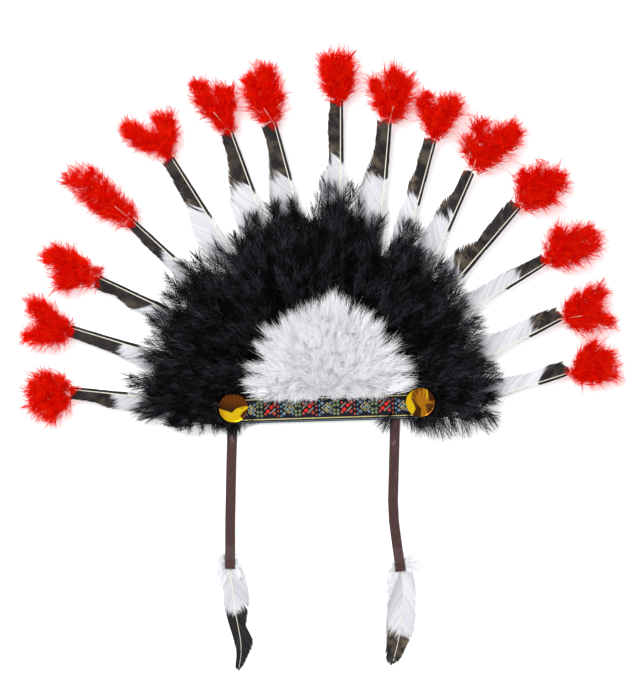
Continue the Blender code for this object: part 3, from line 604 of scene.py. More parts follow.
class Fan:
    """A fan of down: its solid's box and upper side, and its reach by bearing in degrees."""

    def __init__(self, name, insets, kept=slice(None)):
        self.name = name
        self.low, self.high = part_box(name)
        self.height = self.high.z - self.low.z
        self.tree = node_tree(name)
        flat = (node_points(name) - CENTRE)[:, :2]
        bearing = np.degrees(np.arctan2(flat[:, 1], flat[:, 0]))
        bearing = np.where(bearing < -90.0, bearing + 360.0, bearing)
        reach = np.linalg.norm(flat, axis=1)
        column = np.round(bearing[reach > 0.02] / FAN_STEP_DEG).astype(int)
        reach = reach[reach > 0.02]
        columns = np.unique(column)[kept]
        around = [reach[np.abs(column - middle) <= 1] for middle in columns]
        self.bearing = columns * FAN_STEP_DEG
        self.inner = np.array([part.min() for part in around])
        self.outer = np.array([part.max() for part in around])
        self.outer = self.outer - np.interp(self.bearing, *zip(*insets)) * MM

    def edges(self, bearing):
        """The inner and outer reach at these bearings."""
        return np.interp(bearing, self.bearing, self.inner), np.interp(bearing, self.bearing, self.outer)

    def lift(self, points, share, beside):
        """Raises points to a share of the down's height under them, or of its height beside it."""
        top = top_of(self.tree, points, self.low.z + beside * self.height)
        points[:, 2] = self.low.z + (top - self.low.z) * share

    def scatter(self, chance, count, inner_inset=0.0, outer_inset=0.0):
        """Bearings, reaches and shares of the way across of places spread evenly over the fan."""
        bearing = chance.uniform(self.bearing[0], self.bearing[-1], count * 6)
        near, far = self.edges(bearing)
        near, far = near + inner_inset, far - outer_inset
        area = np.maximum(far**2 - near**2, 0.0)
        picked = np.flatnonzero(chance.random(len(area)) < area / area.max())[:count]
        bearing, near, far = bearing[picked], near[picked], far[picked]
        reach = np.sqrt(near**2 + chance.random(len(picked)) * (far**2 - near**2))
        return bearing, reach, (reach - near) / (far - near)

    def heart(self, batch, inner_inset, outer_inset, rise, share_of_height, kept=slice(None)):
        """A plain core under the down, with the solid's own top made lower, coloured with the down's
        painted root shade.
        """
        bearings, inner, outer = self.bearing[kept], self.inner[kept], self.outer[kept]
        outer = np.convolve(np.pad(outer, 2, mode="edge"), np.ones(5) / 5, mode="valid")
        wide = HEART_COLUMNS
        across = np.linspace(0.0, 1.0, wide)
        near = (inner + inner_inset)[:, None]
        reach = near + ((outer - outer_inset)[:, None] - near) * across
        low = self.low.z + rise
        top = fan_places(np.repeat(bearings, wide), reach.ravel(), 0.0)
        top[:, 2] = low + (top_of(self.tree, top, low) - low) * share_of_height
        bottom = top.copy()
        bottom[:, 2] = low
        count, last = len(top), len(top) - wide
        faces = []
        for row in range(0, last, wide):
            for a in range(row, row + wide - 1):
                b, c, d = a + 1, a + wide + 1, a + wide
                faces += [(a, b, c), (a, c, d)]
                faces += [(c + count, b + count, a + count), (d + count, c + count, a + count)]
        for a in range(wide - 1):
            b = last + a
            faces += [(a + 1, a, a + count), (a + 1, a + count, a + 1 + count)]
            faces += [(b, b + 1, b + count), (b + 1, b + 1 + count, b + count)]
        batch.add(np.concatenate((top, bottom)), faces, HEART_MARK)


def radial_ways(chance, bearing, tilt, rise, scatter):
    """Directions that fan out from the centre, turned by a tilt and raised."""
    turn = np.radians(bearing + tilt)
    flat = np.stack((np.cos(turn), np.sin(turn), np.broadcast_to(rise, turn.shape)), axis=1)
    return unit(flat + scatter * chance.normal(0.0, 1.0, flat.shape))


def plume_spines(chance, fan, row):
    """Spines of one row of plumes that lie outwards over a fan of down."""
    bearing = np.linspace(fan.bearing[0] + 1.0, fan.bearing[-1] - 1.0, row.count)
    bearing += chance.normal(0.0, 1.0, row.count)
    near, far = fan.edges(bearing)
    start = row.start + chance.normal(0.0, 0.04, row.count)
    finish = row.finish - np.abs(chance.normal(0.0, 0.05, row.count))
    lean = chance.normal(0.0, 4.5, row.count)
    spines = []
    for share, turn, level in ((start, -0.5, 0.70), ((start + finish) / 2, 0.3, 1.12), (finish, 0.5, 0.80)):
        point = fan_places(bearing + lean * turn, near + (far - near) * share, 0.0)
        fan.lift(point, level * chance.uniform(0.85, 1.0, row.count), 0.3)
        spines.append(point)
    return spines


def ruff_locks(batch, chance, fan, part):
    """Locks all over one part of the ruff, which lean down at its ends and are short at its rim."""
    bearing, reach, share = fan.scatter(chance, RUFF_LOCKS, 0.003, 0.018)
    half = share > RUFF_SPLIT if part == "outer" else share <= RUFF_SPLIT
    bearing, reach, share = bearing[half], reach[half], share[half]
    root = fan_places(bearing, reach, 0.0)
    fan.lift(root, chance.uniform(0.40, 0.85, len(root)), 0.25)
    first, last = fan.bearing[0], fan.bearing[-1]
    tilt = 32.0 * (ease(18.0, 0.0, last - bearing) - ease(18.0, 0.0, bearing - first))
    rise = 0.42 - 0.34 * share + 0.25 * ease(0.3, 0.0, share)
    way = radial_ways(chance, bearing, tilt, rise, 0.30)
    length = RUFF_STRAND * chance.uniform(0.75, 1.1, len(root))
    edge_room = fan.edges(bearing)[1] - 0.006 - reach
    length = np.minimum(length, np.maximum(edge_room, 0.008))
    locks(batch, chance, root, way, length, RUFF_LOCK, fan.high.z + RUFF_HEADROOM)


def ruff_skirt(batch, chance):
    """Black locks that hang out below the ribbon's ends."""
    x, y, run, drop = np.repeat(np.array(RUFF_SKIRT), 5, axis=0).T * MM
    root = np.stack((x, y + 0.003, np.full(len(x), 0.0035)), axis=1)
    root += chance.normal(0.0, 0.0016, root.shape)
    way = np.stack((run, drop, np.full(len(x), 0.002)), axis=1)
    length = 1.25 * np.linalg.norm(way, axis=1) + 0.003
    locks(batch, chance, root, unit(way), length, SKIRT_LOCK, 0.020)


def disc_collar(batch, chance):
    """Black locks that lean away from each disc's rim and cover the quills' feet."""
    for side, middle in DISC_MIDDLES.items():
        turn = np.radians(np.linspace(*COLLAR_ARC[side], COLLAR_LOCKS))
        turn += chance.normal(0.0, 0.05, COLLAR_LOCKS)
        way = np.stack((np.cos(turn), np.sin(turn), np.zeros(COLLAR_LOCKS)), axis=1)
        root = way * (DISC_RADIUS + chance.uniform(0.0002, 0.0030, (COLLAR_LOCKS, 1)))
        root += (*middle, 0.0055)
        root[:, 2] += chance.uniform(0.0005, 0.0065, COLLAR_LOCKS)
        way[:, 2] = chance.uniform(0.05, 0.35, COLLAR_LOCKS)
        length = chance.uniform(0.009, 0.014, COLLAR_LOCKS)
        locks(batch, chance, root, unit(way), length, COLLAR_LOCK, 0.030)


def inner_rim(batch, chance, fan):
    """Black locks that lean inwards over the white down's edge."""
    bearing = chance.uniform(fan.bearing[0], fan.bearing[-1], INNER_RIM_LOCKS)
    reach = fan.edges(bearing)[0] + chance.uniform(0.0, 0.006, INNER_RIM_LOCKS)
    root = fan_places(bearing, reach, 0.0)
    root[:, 2] = top_of(fan.tree, root, fan.low.z + 0.4 * fan.height) * 0.8
    way = radial_ways(chance, bearing, 180.0, 0.5, 0.3)
    length = chance.uniform(0.008, 0.012, INNER_RIM_LOCKS)
    locks(batch, chance, root, way, length, RIM_LOCK, fan.high.z + RUFF_HEADROOM)


def black_ruff(material):
    fan = Fan("black_marabou_ruff", RUFF_INSETS, slice(2, -1))
    for seed, part in ((11, "outer"), (12, "inner")):
        chance = np.random.default_rng(seed)
        batch = Batch()
        ruff_locks(batch, chance, fan, part)
        for row in RUFF_PLUMES:
            if row.part == part:
                spines = plume_spines(chance, fan, row)
                barb = row.barb * chance.uniform(0.8, 1.15, row.count)
                plumes(batch, chance, spines, barb, row.barbs, row.style)
        if part == "outer":
            ruff_skirt(batch, chance)
        else:
            disc_collar(batch, chance)
            inner_rim(batch, chance, fan)
            fan.heart(batch, 0.001, 0.026, 0.002, 0.45, slice(2, -2))
        batch.piece("black_marabou_" + part, material, fan.name)


def white_locks(batch, chance, fan):
    """White locks all over the centre, which turn down over the ribbon beside it."""
    bearing, reach, share = fan.scatter(chance, WHITE_LOCKS)
    root = fan_places(bearing, reach, 0.0)
    root[:, 1] = np.maximum(root[:, 1], CENTRE[1] + 0.001)
    fan.lift(root, chance.uniform(0.55, 0.92, len(root)), 0.3)
    way = radial_ways(chance, bearing, 0.0, 0.85 - 0.60 * share, 0.40)
    near_band = ease(0.010, 0.002, root[:, 1] - CENTRE[1])
    way[:, 1] -= 0.9 * near_band
    length = WHITE_STRAND * chance.uniform(0.7, 1.1, len(root)) * (1.0 + 0.25 * share)
    length *= 1.0 - 0.35 * near_band
    locks(batch, chance, root, unit(way), length, WHITE_LOCK, fan.high.z + 0.005)


def white_wisps(batch, chance, fan):
    """Long wisps that stand out over the black, first the drawn ones and then fine ones between."""
    top = fan.high.z + WISP_HEADROOM
    spikes = np.repeat(np.array(WHITE_SPIKES), 3, axis=0)
    bearing = spikes[:, 0] + chance.normal(0.0, 1.6, len(spikes))
    far = spikes[:, 1] * MM * chance.uniform(0.95, 1.02, len(spikes))
    root = fan_places(bearing, far - SPIKE_LENGTH, fan.low.z + 0.7 * fan.height)
    way = radial_ways(chance, bearing, 0.0, 0.30, 0.10)
    locks(batch, chance, root, way, np.full(len(root), SPIKE_LENGTH), SPIKE_LOCK, top)
    bearing = chance.uniform(2.0, 178.0, WHITE_WISPS)
    reach = fan.edges(bearing)[1] + chance.uniform(-0.002, 0.006, WHITE_WISPS)
    root = fan_places(bearing, reach, fan.low.z + 0.6 * fan.height)
    way = radial_ways(chance, bearing, 0.0, 0.30, 0.16)
    length = chance.uniform(0.016, 0.025, WHITE_WISPS)
    locks(batch, chance, root, way, length, WISP_LOCK, top)


def white_tongues(batch, chance, fan):
    """White locks that lie down over the ribbon."""
    x, length = np.repeat(np.array(WHITE_TONGUES), 3, axis=0).T * MM
    root = np.stack((x, np.full(len(x), CENTRE[1] + 0.003), np.full(len(x), 0.0120)), axis=1)
    way = unit(np.array((0.0, -1.0, -0.25)) + 0.12 * chance.normal(0.0, 1.0, root.shape))
    locks(batch, chance, root, way, length, TONGUE_LOCK, fan.high.z)


def white_centre(material):
    fan = Fan("white_marabou_centre", WHITE_INSETS)
    fan.inner = np.zeros_like(fan.inner)
    chance = np.random.default_rng(23)
    batch = Batch()
    white_locks(batch, chance, fan)
    white_wisps(batch, chance, fan)
    white_tongues(batch, chance, fan)
    fan.heart(batch, 0.0, 0.0, 0.001, 0.5)
    batch.piece("white_marabou", material, fan.name)


def feather_frame(name):
    """Foot, length and the unit vectors ahead, to the wide side and up, from the quill's end caps."""
    points = node_points(name)
    fan_side = CENTRE if name.startswith("long") else np.array((0.0, -0.1, 0.0))
    foot = points[np.argmin(np.linalg.norm(points - fan_side, axis=1))]
    tip = points[np.argmax(np.linalg.norm(points - foot, axis=1))]
    for _ in range(2):
        along = (points - foot) @ unit(tip - foot)
        foot = points[along < along.min() + 0.0003].mean(0)
        tip = points[along > along.max() - 0.0003].mean(0)
    ahead = unit(tip - foot)
    up = unit(np.array((0.0, 0.0, 1.0)) - ahead * ahead[2])
    return foot, np.linalg.norm(tip - foot), ahead, np.cross(up, ahead), up


def vane_profile(name, side, home):
    """How far the vane reaches to one side, by the distance from the foot."""
    foot, _, ahead, wide, _ = home
    local = node_points(name) - foot
    x, y = local @ ahead, local @ wide * side
    edge = y > 0.0015
    order = np.argsort(x[edge])
    return x[edge][order], y[edge][order]


def vane(batch, chance, home, profile, side, marks, sway=None, spacing=BARB_SPACING, overrun=0.0):
    """Barbs side by side along one side of a shaft. marks are where it turns dark, at the shaft and
    how much further out at the edge, its brownness and how far a dark tail goes back at the edge.
    """
    foot, length, ahead, wide, up = home
    dark, ragged, brown, tail = marks
    xs, ys = profile
    far_end = length * 0.999 + overrun
    end_x = np.arange(xs[0], far_end, spacing)
    end_y = np.interp(end_x, xs, ys)
    closing = np.arange(end_y[-1], 0.0008, -spacing * 0.6)
    end_x = np.append(end_x, far_end - 0.25 * closing[0] * (closing / closing[0]) ** 2)
    end_y = np.append(end_y, closing)
    count = len(end_x)
    slope = 1.0 / math.tan(math.radians(BARB_ANGLES_DEG[0 if side > 0 else 1]))
    root = np.clip(end_x - end_y * slope, 0.0, length * 0.998)
    root = np.maximum.accumulate(root)
    lock = np.cumsum(chance.random(count) < 0.07)
    lock_turn = chance.normal(0.0, 0.0007, lock.max() + 1)[lock]
    lock_reach = 1.0 + chance.normal(0.0, 0.035, lock.max() + 1)[lock]
    end_x = end_x + lock_turn + chance.normal(0.0, 0.0002, count)
    end_y = end_y * lock_reach * chance.uniform(0.96, 1.02, count)
    if sway is None:
        sway = (np.array((0.0, length)), np.zeros(2))
    camber = -VANE_CAMBER * (end_y / CAMBER_WIDTH) ** 2
    shingle = 0.00025 * (np.arange(count) % 3)

    def place(x, y, z):
        stray = np.interp(x, *sway)
        return foot + x[:, None] * ahead + (side * y + stray)[:, None] * wide + z[:, None] * up

    start = place(root, np.full(count, 0.0002), shingle)
    bend = place(root + (end_x - root) * 0.42, end_y * 0.6, shingle + 0.0004)
    end = place(end_x, end_y, camber + shingle)
    facing = np.tile(up, (count, 1)) + 0.10 * chance.normal(0.0, 1.0, (count, 3))
    width = np.full(count, spacing * 2.3)
    points, faces, along = strips((start, bend, end), facing, width, BARB_STEPS, taper=5.0)
    barb = np.repeat(np.arange(count), 2 * BARB_STEPS + 1)
    x = (points - foot) @ ahead / length
    ragged_at = chance.normal(0.0, 0.008, count) + chance.normal(0.0, 0.012, lock.max() + 1)[lock]
    border = dark + ragged * along + ragged_at[barb] - tail * ease(0.72, 0.95, along)
    darkness = ease(border - 0.008, border + 0.008, x)
    tone = (0.5 * chance.random(count) + 0.5 * chance.random(lock.max() + 1)[lock])[barb]
    browner = 0.55 + 0.9 * ease(0.18, 0.02, x - border) * ease(0.2, 0.8, along)
    batch.add(points, faces, np.stack((darkness, tone, along, brown * browner), axis=1))


def tube(batch, path, radius, marks, sides=8):
    """A round bar along a path, with a radius at each of its points."""
    ahead = unit(np.gradient(path, axis=0))
    across = unit(np.cross(ahead, (0.0, 0.0, 1.0)))
    over = np.cross(across, ahead)
    turns = np.linspace(0.0, 2 * math.pi, sides, endpoint=False)
    ring = across[:, None] * np.cos(turns)[:, None] + over[:, None] * np.sin(turns)[:, None]
    points = (path[:, None] + ring * radius[:, None, None]).reshape(-1, 3)
    faces = []
    for row in range(len(path) - 1):
        for side in range(sides):
            a, b = row * sides + side, row * sides + (side + 1) % sides
            faces += [(a, b, b + sides), (a, b + sides, a + sides)]
    for row in (0, len(path) - 1):
        for side in range(1, sides - 1):
            faces.append((row * sides, row * sides + side, row * sides + side + 1))
    batch.add(points, faces, marks)


def shaft(batch, home, radii, sway=None):
    foot, length, ahead, wide, up = home
    share = np.linspace(0.0, 1.0, 24)
    path = foot + share[:, None] * length * ahead + 0.0003 * up
    if sway is not None:
        path = path + np.interp(share * length, *sway)[:, None] * wide
    radius = radii[1] + (radii[0] - radii[1]) * (1.0 - share) ** 1.5
    tube(batch, path, radius, SHAFT_MARK)


def wide_edge(index, home, drawn):
    """The drawn vane near the foot, and the photographed edge towards the tip."""
    _, length, _, _, _ = home
    xs, ys = drawn
    edge = np.array(FEATHER_EDGES[index][::-1]) * MM
    out = length - EDGE_STEP * MM * np.arange(len(edge))[::-1]
    inner = xs < out[0] - 0.02
    return np.append(xs[inner], out), np.append(ys[inner], edge)


def long_feather(index, material):
    name = f"long_feather_{index + 1:02d}"
    marks = FEATHER_MARKS[index]
    home = feather_frame(name)
    chance = np.random.default_rng(100 + index)
    batch = Batch()
    wide_marks = (marks.dark, marks.ragged, marks.brown, marks.tail)
    narrow_marks = (marks.narrow_dark, 0.0, 0.0, 0.0)
    edge = wide_edge(index, home, vane_profile(name, 1.0, home))
    narrow = vane_profile(name, -1.0, home)
    edge, narrow = (tuple(part[side[0] > BARE_QUILL] for part in side) for side in (edge, narrow))
    vane(batch, chance, home, edge, 1.0, wide_marks, overrun=VANE_OVERRUNS[0])
    vane(batch, chance, home, narrow, -1.0, narrow_marks, overrun=VANE_OVERRUNS[1])
    shaft(batch, home, QUILL_RADII)
    batch.piece(f"feather_{index + 1:02d}", material, name)


def strap_feather(side, material, down):
    name = "strap_feather_" + side
    home = feather_frame(name)
    foot, length, ahead, _, _ = home
    share, sway, left_reach, right_reach = np.array(STRAP_VANES[side]).T
    dark, left_ragged, right_ragged, brown = STRAP_DARK[side]
    along = share * length
    sway = (along, sway * MM)
    chance = np.random.default_rng(STRAP_SEEDS[side])
    batch = Batch()
    for way, ragged, reach in ((1.0, right_ragged, right_reach), (-1.0, left_ragged, left_reach)):
        marks = (dark, ragged, brown, 0.0)
        vane(batch, chance, home, (along, reach * MM), way, marks, sway, STRAP_BARB_SPACING)
    shaft(batch, home, STRAP_QUILL_RADII, sway)
    batch.piece("hanging_feather_" + side, material, name)
    wisps = np.array(STRAP_DOWN[side]) * MM
    count = len(wisps)
    root = np.tile(foot + ahead * 0.006, (count, 1)) + 0.001 * chance.normal(0.0, 1.0, (count, 3))
    tip = np.stack((foot[0] + wisps[:, 1], foot[1] - 0.008 - wisps[:, 0], np.full(count, 0.004)), axis=1)
    bend = (root + tip) / 2 + np.array((0.0, 0.003, 0.003))
    fluff = Batch()
    plumes(fluff, chance, (root, bend, tip), wisps[:, 2] * 1.6, STRAP_DOWN_BARBS, STRAP_PLUME)
    under_tongue(fluff, node_points("strap_" + side))
    fluff.piece("hanging_down_" + side, down, name)


def under_tongue(fluff, strap):
    """Keeps loose down under the strap's lower end, which covers its roots."""
    tongue = strap[strap[:, 1] < strap[:, 1].min() + 0.012]
    (left, low, under), (right, _, _) = tongue.min(0), tongue.max(0)
    for points in fluff.points:
        x, y = points[:, 0], points[:, 1]
        covered = (x > left - 0.0008) & (x < right + 0.0008) & (y > low - 0.0008)
        points[covered, 2] = np.minimum(points[covered, 2], under - 0.0002)


def red_tuft(index, material):
    name = f"tip_tuft_{index + 1:02d}"
    low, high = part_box(name)
    foot, length, ahead, wide, _ = feather_frame(f"long_feather_{index + 1:02d}")
    flat = np.array((1.0, 1.0, 0.0))
    ahead, wide, neck = unit(ahead * flat), unit(wide * flat), foot + ahead * length
    middle_z, depth = (low.z + high.z) / 2, (high.z - low.z) / 2
    chance = np.random.default_rng(300 + index)
    puffs = np.array(TUFT_PUFFS[index]) * MM
    puffs[:, 2] *= TUFT_FULLNESS
    share = puffs[:, 2] ** 2 / (puffs[:, 2] ** 2).sum()
    batch = Batch()
    for layer in TUFT_LAYERS:
        count = layer.count
        puff = puffs[chance.choice(len(puffs), count, p=share)]
        reach = chance.uniform(layer.near, layer.far, count)
        if layer.near == 0.0:
            reach = np.sqrt(reach)
        turn = chance.uniform(0.0, 2 * math.pi, count)
        out = np.stack((np.cos(turn), np.sin(turn)), axis=1)
        goal = puff[:, :2] + out * (puff[:, 2] * reach)[:, None]
        way = 0.8 * unit(puff[:, :2]) + out * reach[:, None] + 0.35 * chance.normal(0.0, 1.0, (count, 2))
        dome = np.sqrt(np.clip(1.0 - 0.8 * reach**2, 0.1, 1.0)) * np.minimum(depth, 1.3 * puff[:, 2])
        away = np.linalg.norm(goal, axis=1)
        level = dome * chance.uniform(-0.45, 1.0, count) * ease(-0.006, 0.018, away)
        strand = layer.length * chance.uniform(0.75, 1.15, count)
        way = way[:, :1] * ahead + way[:, 1:] * wide
        way = unit(unit(way) + (0.5 * level / depth)[:, None] * UP)
        end = neck + goal[:, :1] * ahead + goal[:, 1:] * wide
        end[:, 2] = middle_z + level * 0.92
        root = end - way * strand[:, None] * layer.inside
        thin = (away > 0.011) | (chance.random(count) < 0.45)
        locks(batch, chance, root[thin], way[thin], strand[thin], layer.style, high.z)
    if index in TUFT_QUILLS:
        on, aside = np.array(TUFT_QUILLS[index]) * MM
        path = neck + np.linspace(-0.1, 1.0, 8)[:, None] * (on * ahead + aside * wide)
        path[:, 2] = np.linspace(neck[2] + 0.0005, high.z - 0.002, 8)
        tube(batch, path, np.linspace(0.0006, 0.0003, 8), SHAFT_MARK, 6)
    batch.piece(f"red_tuft_{index + 1:02d}", material, name)


def threads(along, up):
    """Which thread shows at each place of the ribbon, in mm from its middle."""
    up = up - PATTERN_RISE
    place = np.mod(along - FIRST_REPEAT + 3.8, REPEAT) - 3.8
    shown = np.full(along.shape, "ground", dtype=object)
    for line in DIAGONALS:
        run = np.array((line.to_along - line.along, line.to_up - line.up))
        far = np.linalg.norm(run)
        run = run / far
        x, y = place - line.along, up - line.up
        ahead, off = x * run[0] + y * run[1], np.abs(y * run[0] - x * run[1])
        shown[(off < LINE_HALF_WIDTH) & (ahead > 0.0) & (ahead < far)] = line.thread
    for mirrored, motifs in ((True, MIRRORED), (False, SINGLE)):
        height = np.abs(up) if mirrored else up
        for motif in motifs:
            off = np.abs(place - motif.along) / motif.wide + np.abs(height - motif.up) / motif.high
            shown[off < 1.0] = motif.thread
    for line in EDGE_LINES:
        shown[np.abs(up - line) < EDGE_LINE_HALF_WIDTH] = "edge"
    shown[np.abs(up - FAINT_LINE) < FAINT_LINE_HALF_WIDTH] = "slate"
    return shown


def tinted_mesh(name, points, faces, tint, domain):
    mesh = bpy.data.meshes.new(name)
    mesh.from_pydata(points.tolist(), [], faces)
    tints = mesh.attributes.new("tint", "FLOAT_COLOR", domain)
    tints.data.foreach_set("color", np.concatenate((tint, np.ones((len(tint), 1))), axis=1).ravel())
    return mesh


def woven_band(material):
    """The ribbon, woven of small raised stitches over a flat strip."""
    low, high = RIBBON_LOW, RIBBON_HIGH
    columns, rows = round((high.x - low.x) / CELL), round((high.y - low.y) / CELL)
    xs, ys = np.linspace(low.x, high.x, columns + 1), np.linspace(low.y, high.y, rows + 1)
    grid_x, grid_y = np.meshgrid(xs, ys)
    odd = (np.arange(columns + 1)[None, :] + np.arange(rows + 1)[:, None]) % 2
    level = high.z + 0.00012 * odd
    grid = np.stack((grid_x.ravel(), grid_y.ravel(), level.ravel()), axis=1)
    column = np.tile(np.arange(columns), rows)
    row = np.repeat(np.arange(rows), columns)
    corner = row * (columns + 1) + column
    around = (corner, corner + 1, corner + columns + 2, corner + columns + 1)
    top = np.stack((np.stack(around[:3], axis=1), np.stack((around[0], *around[2:]), axis=1)), axis=1)
    top = top.reshape(-1, 3)
    border = list(range(columns)) + [k * (columns + 1) + columns for k in range(rows)]
    border += [rows * (columns + 1) + columns - k for k in range(columns)]
    border += [(rows - k) * (columns + 1) for k in range(rows)]
    under = grid[border] * (1.0, 1.0, 0.0) + (0.0, 0.0, low.z)
    base = len(grid)
    ring = base + np.arange(len(border))
    border, after = np.array(border), np.roll(np.array(border), -1)
    skirt = np.concatenate((np.stack((after, border, ring), axis=1),
                            np.stack((after, ring, np.roll(ring, -1)), axis=1)))
    heart = base + len(ring)
    floor = np.stack((np.roll(ring, -1), ring, np.full(len(ring), heart)), axis=1)
    middle = under.mean(0)[None]
    chance = np.random.default_rng(5)
    shown = threads((xs[column] + xs[column + 1]) / 2 / MM, (ys[row] + ys[row + 1]) / 2 / MM)
    tint = np.array([THREADS[thread] for thread in shown])
    tint *= chance.uniform(0.70, 1.20, (len(tint), 1))
    tint *= np.where((column + row) % 2 == 0, 1.12, 0.62)[:, None]
    dashed = (shown == "edge") & (column % 4 == 0)
    tint[dashed] = THREADS["ground"]
    plain = np.tile(THREADS["ground"], (len(skirt) + len(floor), 1))
    tint = np.concatenate((np.repeat(tint, 2, axis=0), plain))
    points = np.concatenate((grid, under, middle))
    faces = np.concatenate((top, skirt, floor)).tolist()
    mesh = tinted_mesh("woven_ribbon", points, faces, tint, "FACE")
    band = add_piece("woven_ribbon", mesh, material, "ribbon_band")


# Colours of the discs' amber and of the room's reflections painted over it.
BROWN = np.array((0.050, 0.013, 0.0015))
AMBER = np.array((0.240, 0.062, 0.003))
ORANGE = np.array((0.560, 0.250, 0.007))
YELLOW = np.array((0.780, 0.500, 0.005))


def blended(first, second, share):
    return first + (second - first) * share[..., None]


def below(places, x, y, soft=0.03):
    """1 below a line through these places, in shares of the disc's radius, and 0 above it."""
    line = np.interp(x, *zip(*places))
    return ease(line + soft, line - soft, y)


def left_reflection_zones(x, y):
    """The left disc's amber with painted reflections of the room: streaked brown above, yellow below, and a
    brown sector at the right.
    """
    turn = np.arctan2(y + 0.45, x + 0.05)
    streak = np.clip(0.42 + 0.35 * np.sin(turn * 31.0) + 0.3 * np.sin(turn * 67.0 + 1.0), 0.0, 1.0)
    color = blended(BROWN, AMBER, streak * ease(-0.3, 0.6, y + 0.3 * x))
    color = blended(color, BROWN * 0.6, ease(0.75, 0.98, y + 0.1 * x))
    top = ((-1.0, -0.02), (-0.56, -0.17), (-0.1, -0.33), (0.2, -0.06), (0.56, 0.05), (1.0, 0.09))
    color = blended(color, YELLOW, below(top, x, y))
    color = blended(color, ORANGE, 0.5 * ease(-0.25, -0.9, x) * below(top, x, y + 0.04))
    side = ((-0.85, 0.62), (-0.55, 0.44), (-0.30, 0.64), (-0.08, 0.95))
    edge = np.interp(y, *zip(*side))
    sector = ease(edge - 0.03, edge + 0.03, x) * ease(-0.04, -0.10, y) * ease(-0.90, -0.84, y)
    color = blended(color, BROWN * 1.3, sector)
    spot = np.exp(-(((x - 0.60) / 0.10) ** 2 + ((y + 0.03) / 0.035) ** 2))
    return blended(color, BROWN, 0.9 * spot)


def right_reflection_zones(x, y):
    """The right disc's amber with painted reflections of the room: a yellow crescent, a brown band, gold
    with a bright painted highlight line, and brown.
    """
    levels = (-1.0, -0.77, -0.43, -0.18, 0.25, 0.67, 1.0)
    crescent = np.interp(y, levels, (-0.60, -0.56, -0.35, -0.43, -0.64, -0.56, -0.40))
    wide = np.interp(y, (-1.0, -0.6, -0.1, 0.4, 1.0), (0.62, 0.48, 0.24, 0.34, 0.55))
    turn = np.arctan2(y + 0.1, x - 0.1)
    color = blended(ORANGE, AMBER * 1.3, 0.5 + 0.5 * np.sin(turn * 17.0))
    band = ease(crescent + wide + 0.08, crescent + wide - 0.08, x)
    color = blended(color, BROWN * 1.2, band * (0.50 + 0.50 * ease(0.5, -0.4, y)))
    color = blended(color, YELLOW, ease(0.36, 0.42, x) * ease(0.54, 0.48, x) * ease(0.15, 0.40, y))
    upper = ease(0.56, 0.64, x + 0.12 * y) * ease(0.02, 0.10, y)
    lower = ease(0.22, 0.34, x + 0.25 * y) * ease(-0.06, -0.14, y) * ease(-0.85, -0.70, y)
    color = blended(color, BROWN * 1.2, np.clip(upper + 0.85 * lower, 0.0, 1.0))
    return blended(color, YELLOW, ease(crescent + 0.03, crescent - 0.03, x))


def mirror_disc(side, zones, material):
    """A thin domed disc with a fine raised rim."""
    low, high = DISC_BOXES[side]
    middle = DISC_MIDDLES[side]
    profile = [(share, high.z - 0.0008 * share**2) for share in np.linspace(0.0, 0.93, 24)[1:]]
    profile += [(0.945, high.z - 0.0005), (0.965, high.z - 0.00045), (0.985, high.z - 0.0006)]
    profile += [(1.0, high.z - 0.0010), (1.0, low.z + 0.0002), (0.97, low.z)]
    sides = DISC_SIDES
    turn = np.linspace(0.0, 2 * math.pi, sides, endpoint=False)
    points = [np.array(((middle[0], middle[1], high.z),))]
    for share, level in profile:
        x, y = np.cos(turn) * share * DISC_RADIUS, np.sin(turn) * share * DISC_RADIUS
        points.append(np.stack((x + middle[0], y + middle[1], np.full(sides, level)), axis=1))
    points = np.concatenate(points)
    faces = [(0, 1 + k, 1 + (k + 1) % sides) for k in range(sides)]
    for ring in range(len(profile) - 1):
        for k in range(sides):
            a, b = 1 + ring * sides + k, 1 + ring * sides + (k + 1) % sides
            faces += [(a, a + sides, b + sides), (a, b + sides, b)]
    last = 1 + (len(profile) - 1) * sides
    faces += [(last, last + k + 1, last + k) for k in range(1, sides - 1)]
    x, y = (points[:, :2] - middle).T / DISC_RADIUS
    # The tints are the disc's amber with reflections of the room painted over it.
    mesh = tinted_mesh("mirror_disc_" + side, points, faces, zones(x, y), "POINT")
    mesh.shade_smooth()
    add_piece("mirror_disc_" + side, mesh, material, "disc_" + side)


def connect(tree, node, inputs):
    """Links a node's inputs, or sets them to plain values, vectors and colours."""
    for name, value in inputs.items():
        socket = node.inputs[name]
        if isinstance(value, bpy.types.NodeSocket):
            tree.links.new(value, socket)
        elif isinstance(value, tuple):
            socket.default_value = (*value, 1.0)[:len(socket.default_value)]
        else:
            socket.default_value = value


def add_node(tree, kind, inputs, **settings):
    node = tree.nodes.new("ShaderNode" + kind)
    for name, value in settings.items():
        setattr(node, name, value)
    connect(tree, node, inputs)
    return node


def new_material(name, roughness, shine):
    material = bpy.data.materials.new(name)
    material.use_nodes = True
    tree = material.node_tree
    shader = tree.nodes["Principled BSDF"]
    connect(tree, shader, {"Roughness": roughness, "Specular IOR Level": shine})
    return material, tree, shader


def marks_of(tree):
    """The four marks of a piece's points."""
    marks = add_node(tree, "Attribute", {}, attribute_name="marks")
    parts = add_node(tree, "SeparateColor", {"Color": marks.outputs["Color"]}).outputs
    return parts["Red"], parts["Green"], parts["Blue"], marks.outputs["Alpha"]


def ramp(tree, factor, stops):
    """Colours along a factor, as (place, colour) stops."""
    node = add_node(tree, "ValToRGB", {"Fac": factor})
    elements = node.color_ramp.elements
    while len(elements) < len(stops):
        elements.new(0.5)
    for element, (place, color) in zip(elements, stops):
        element.position = place
        element.color = (*color, 1.0)
    return node.outputs["Color"]


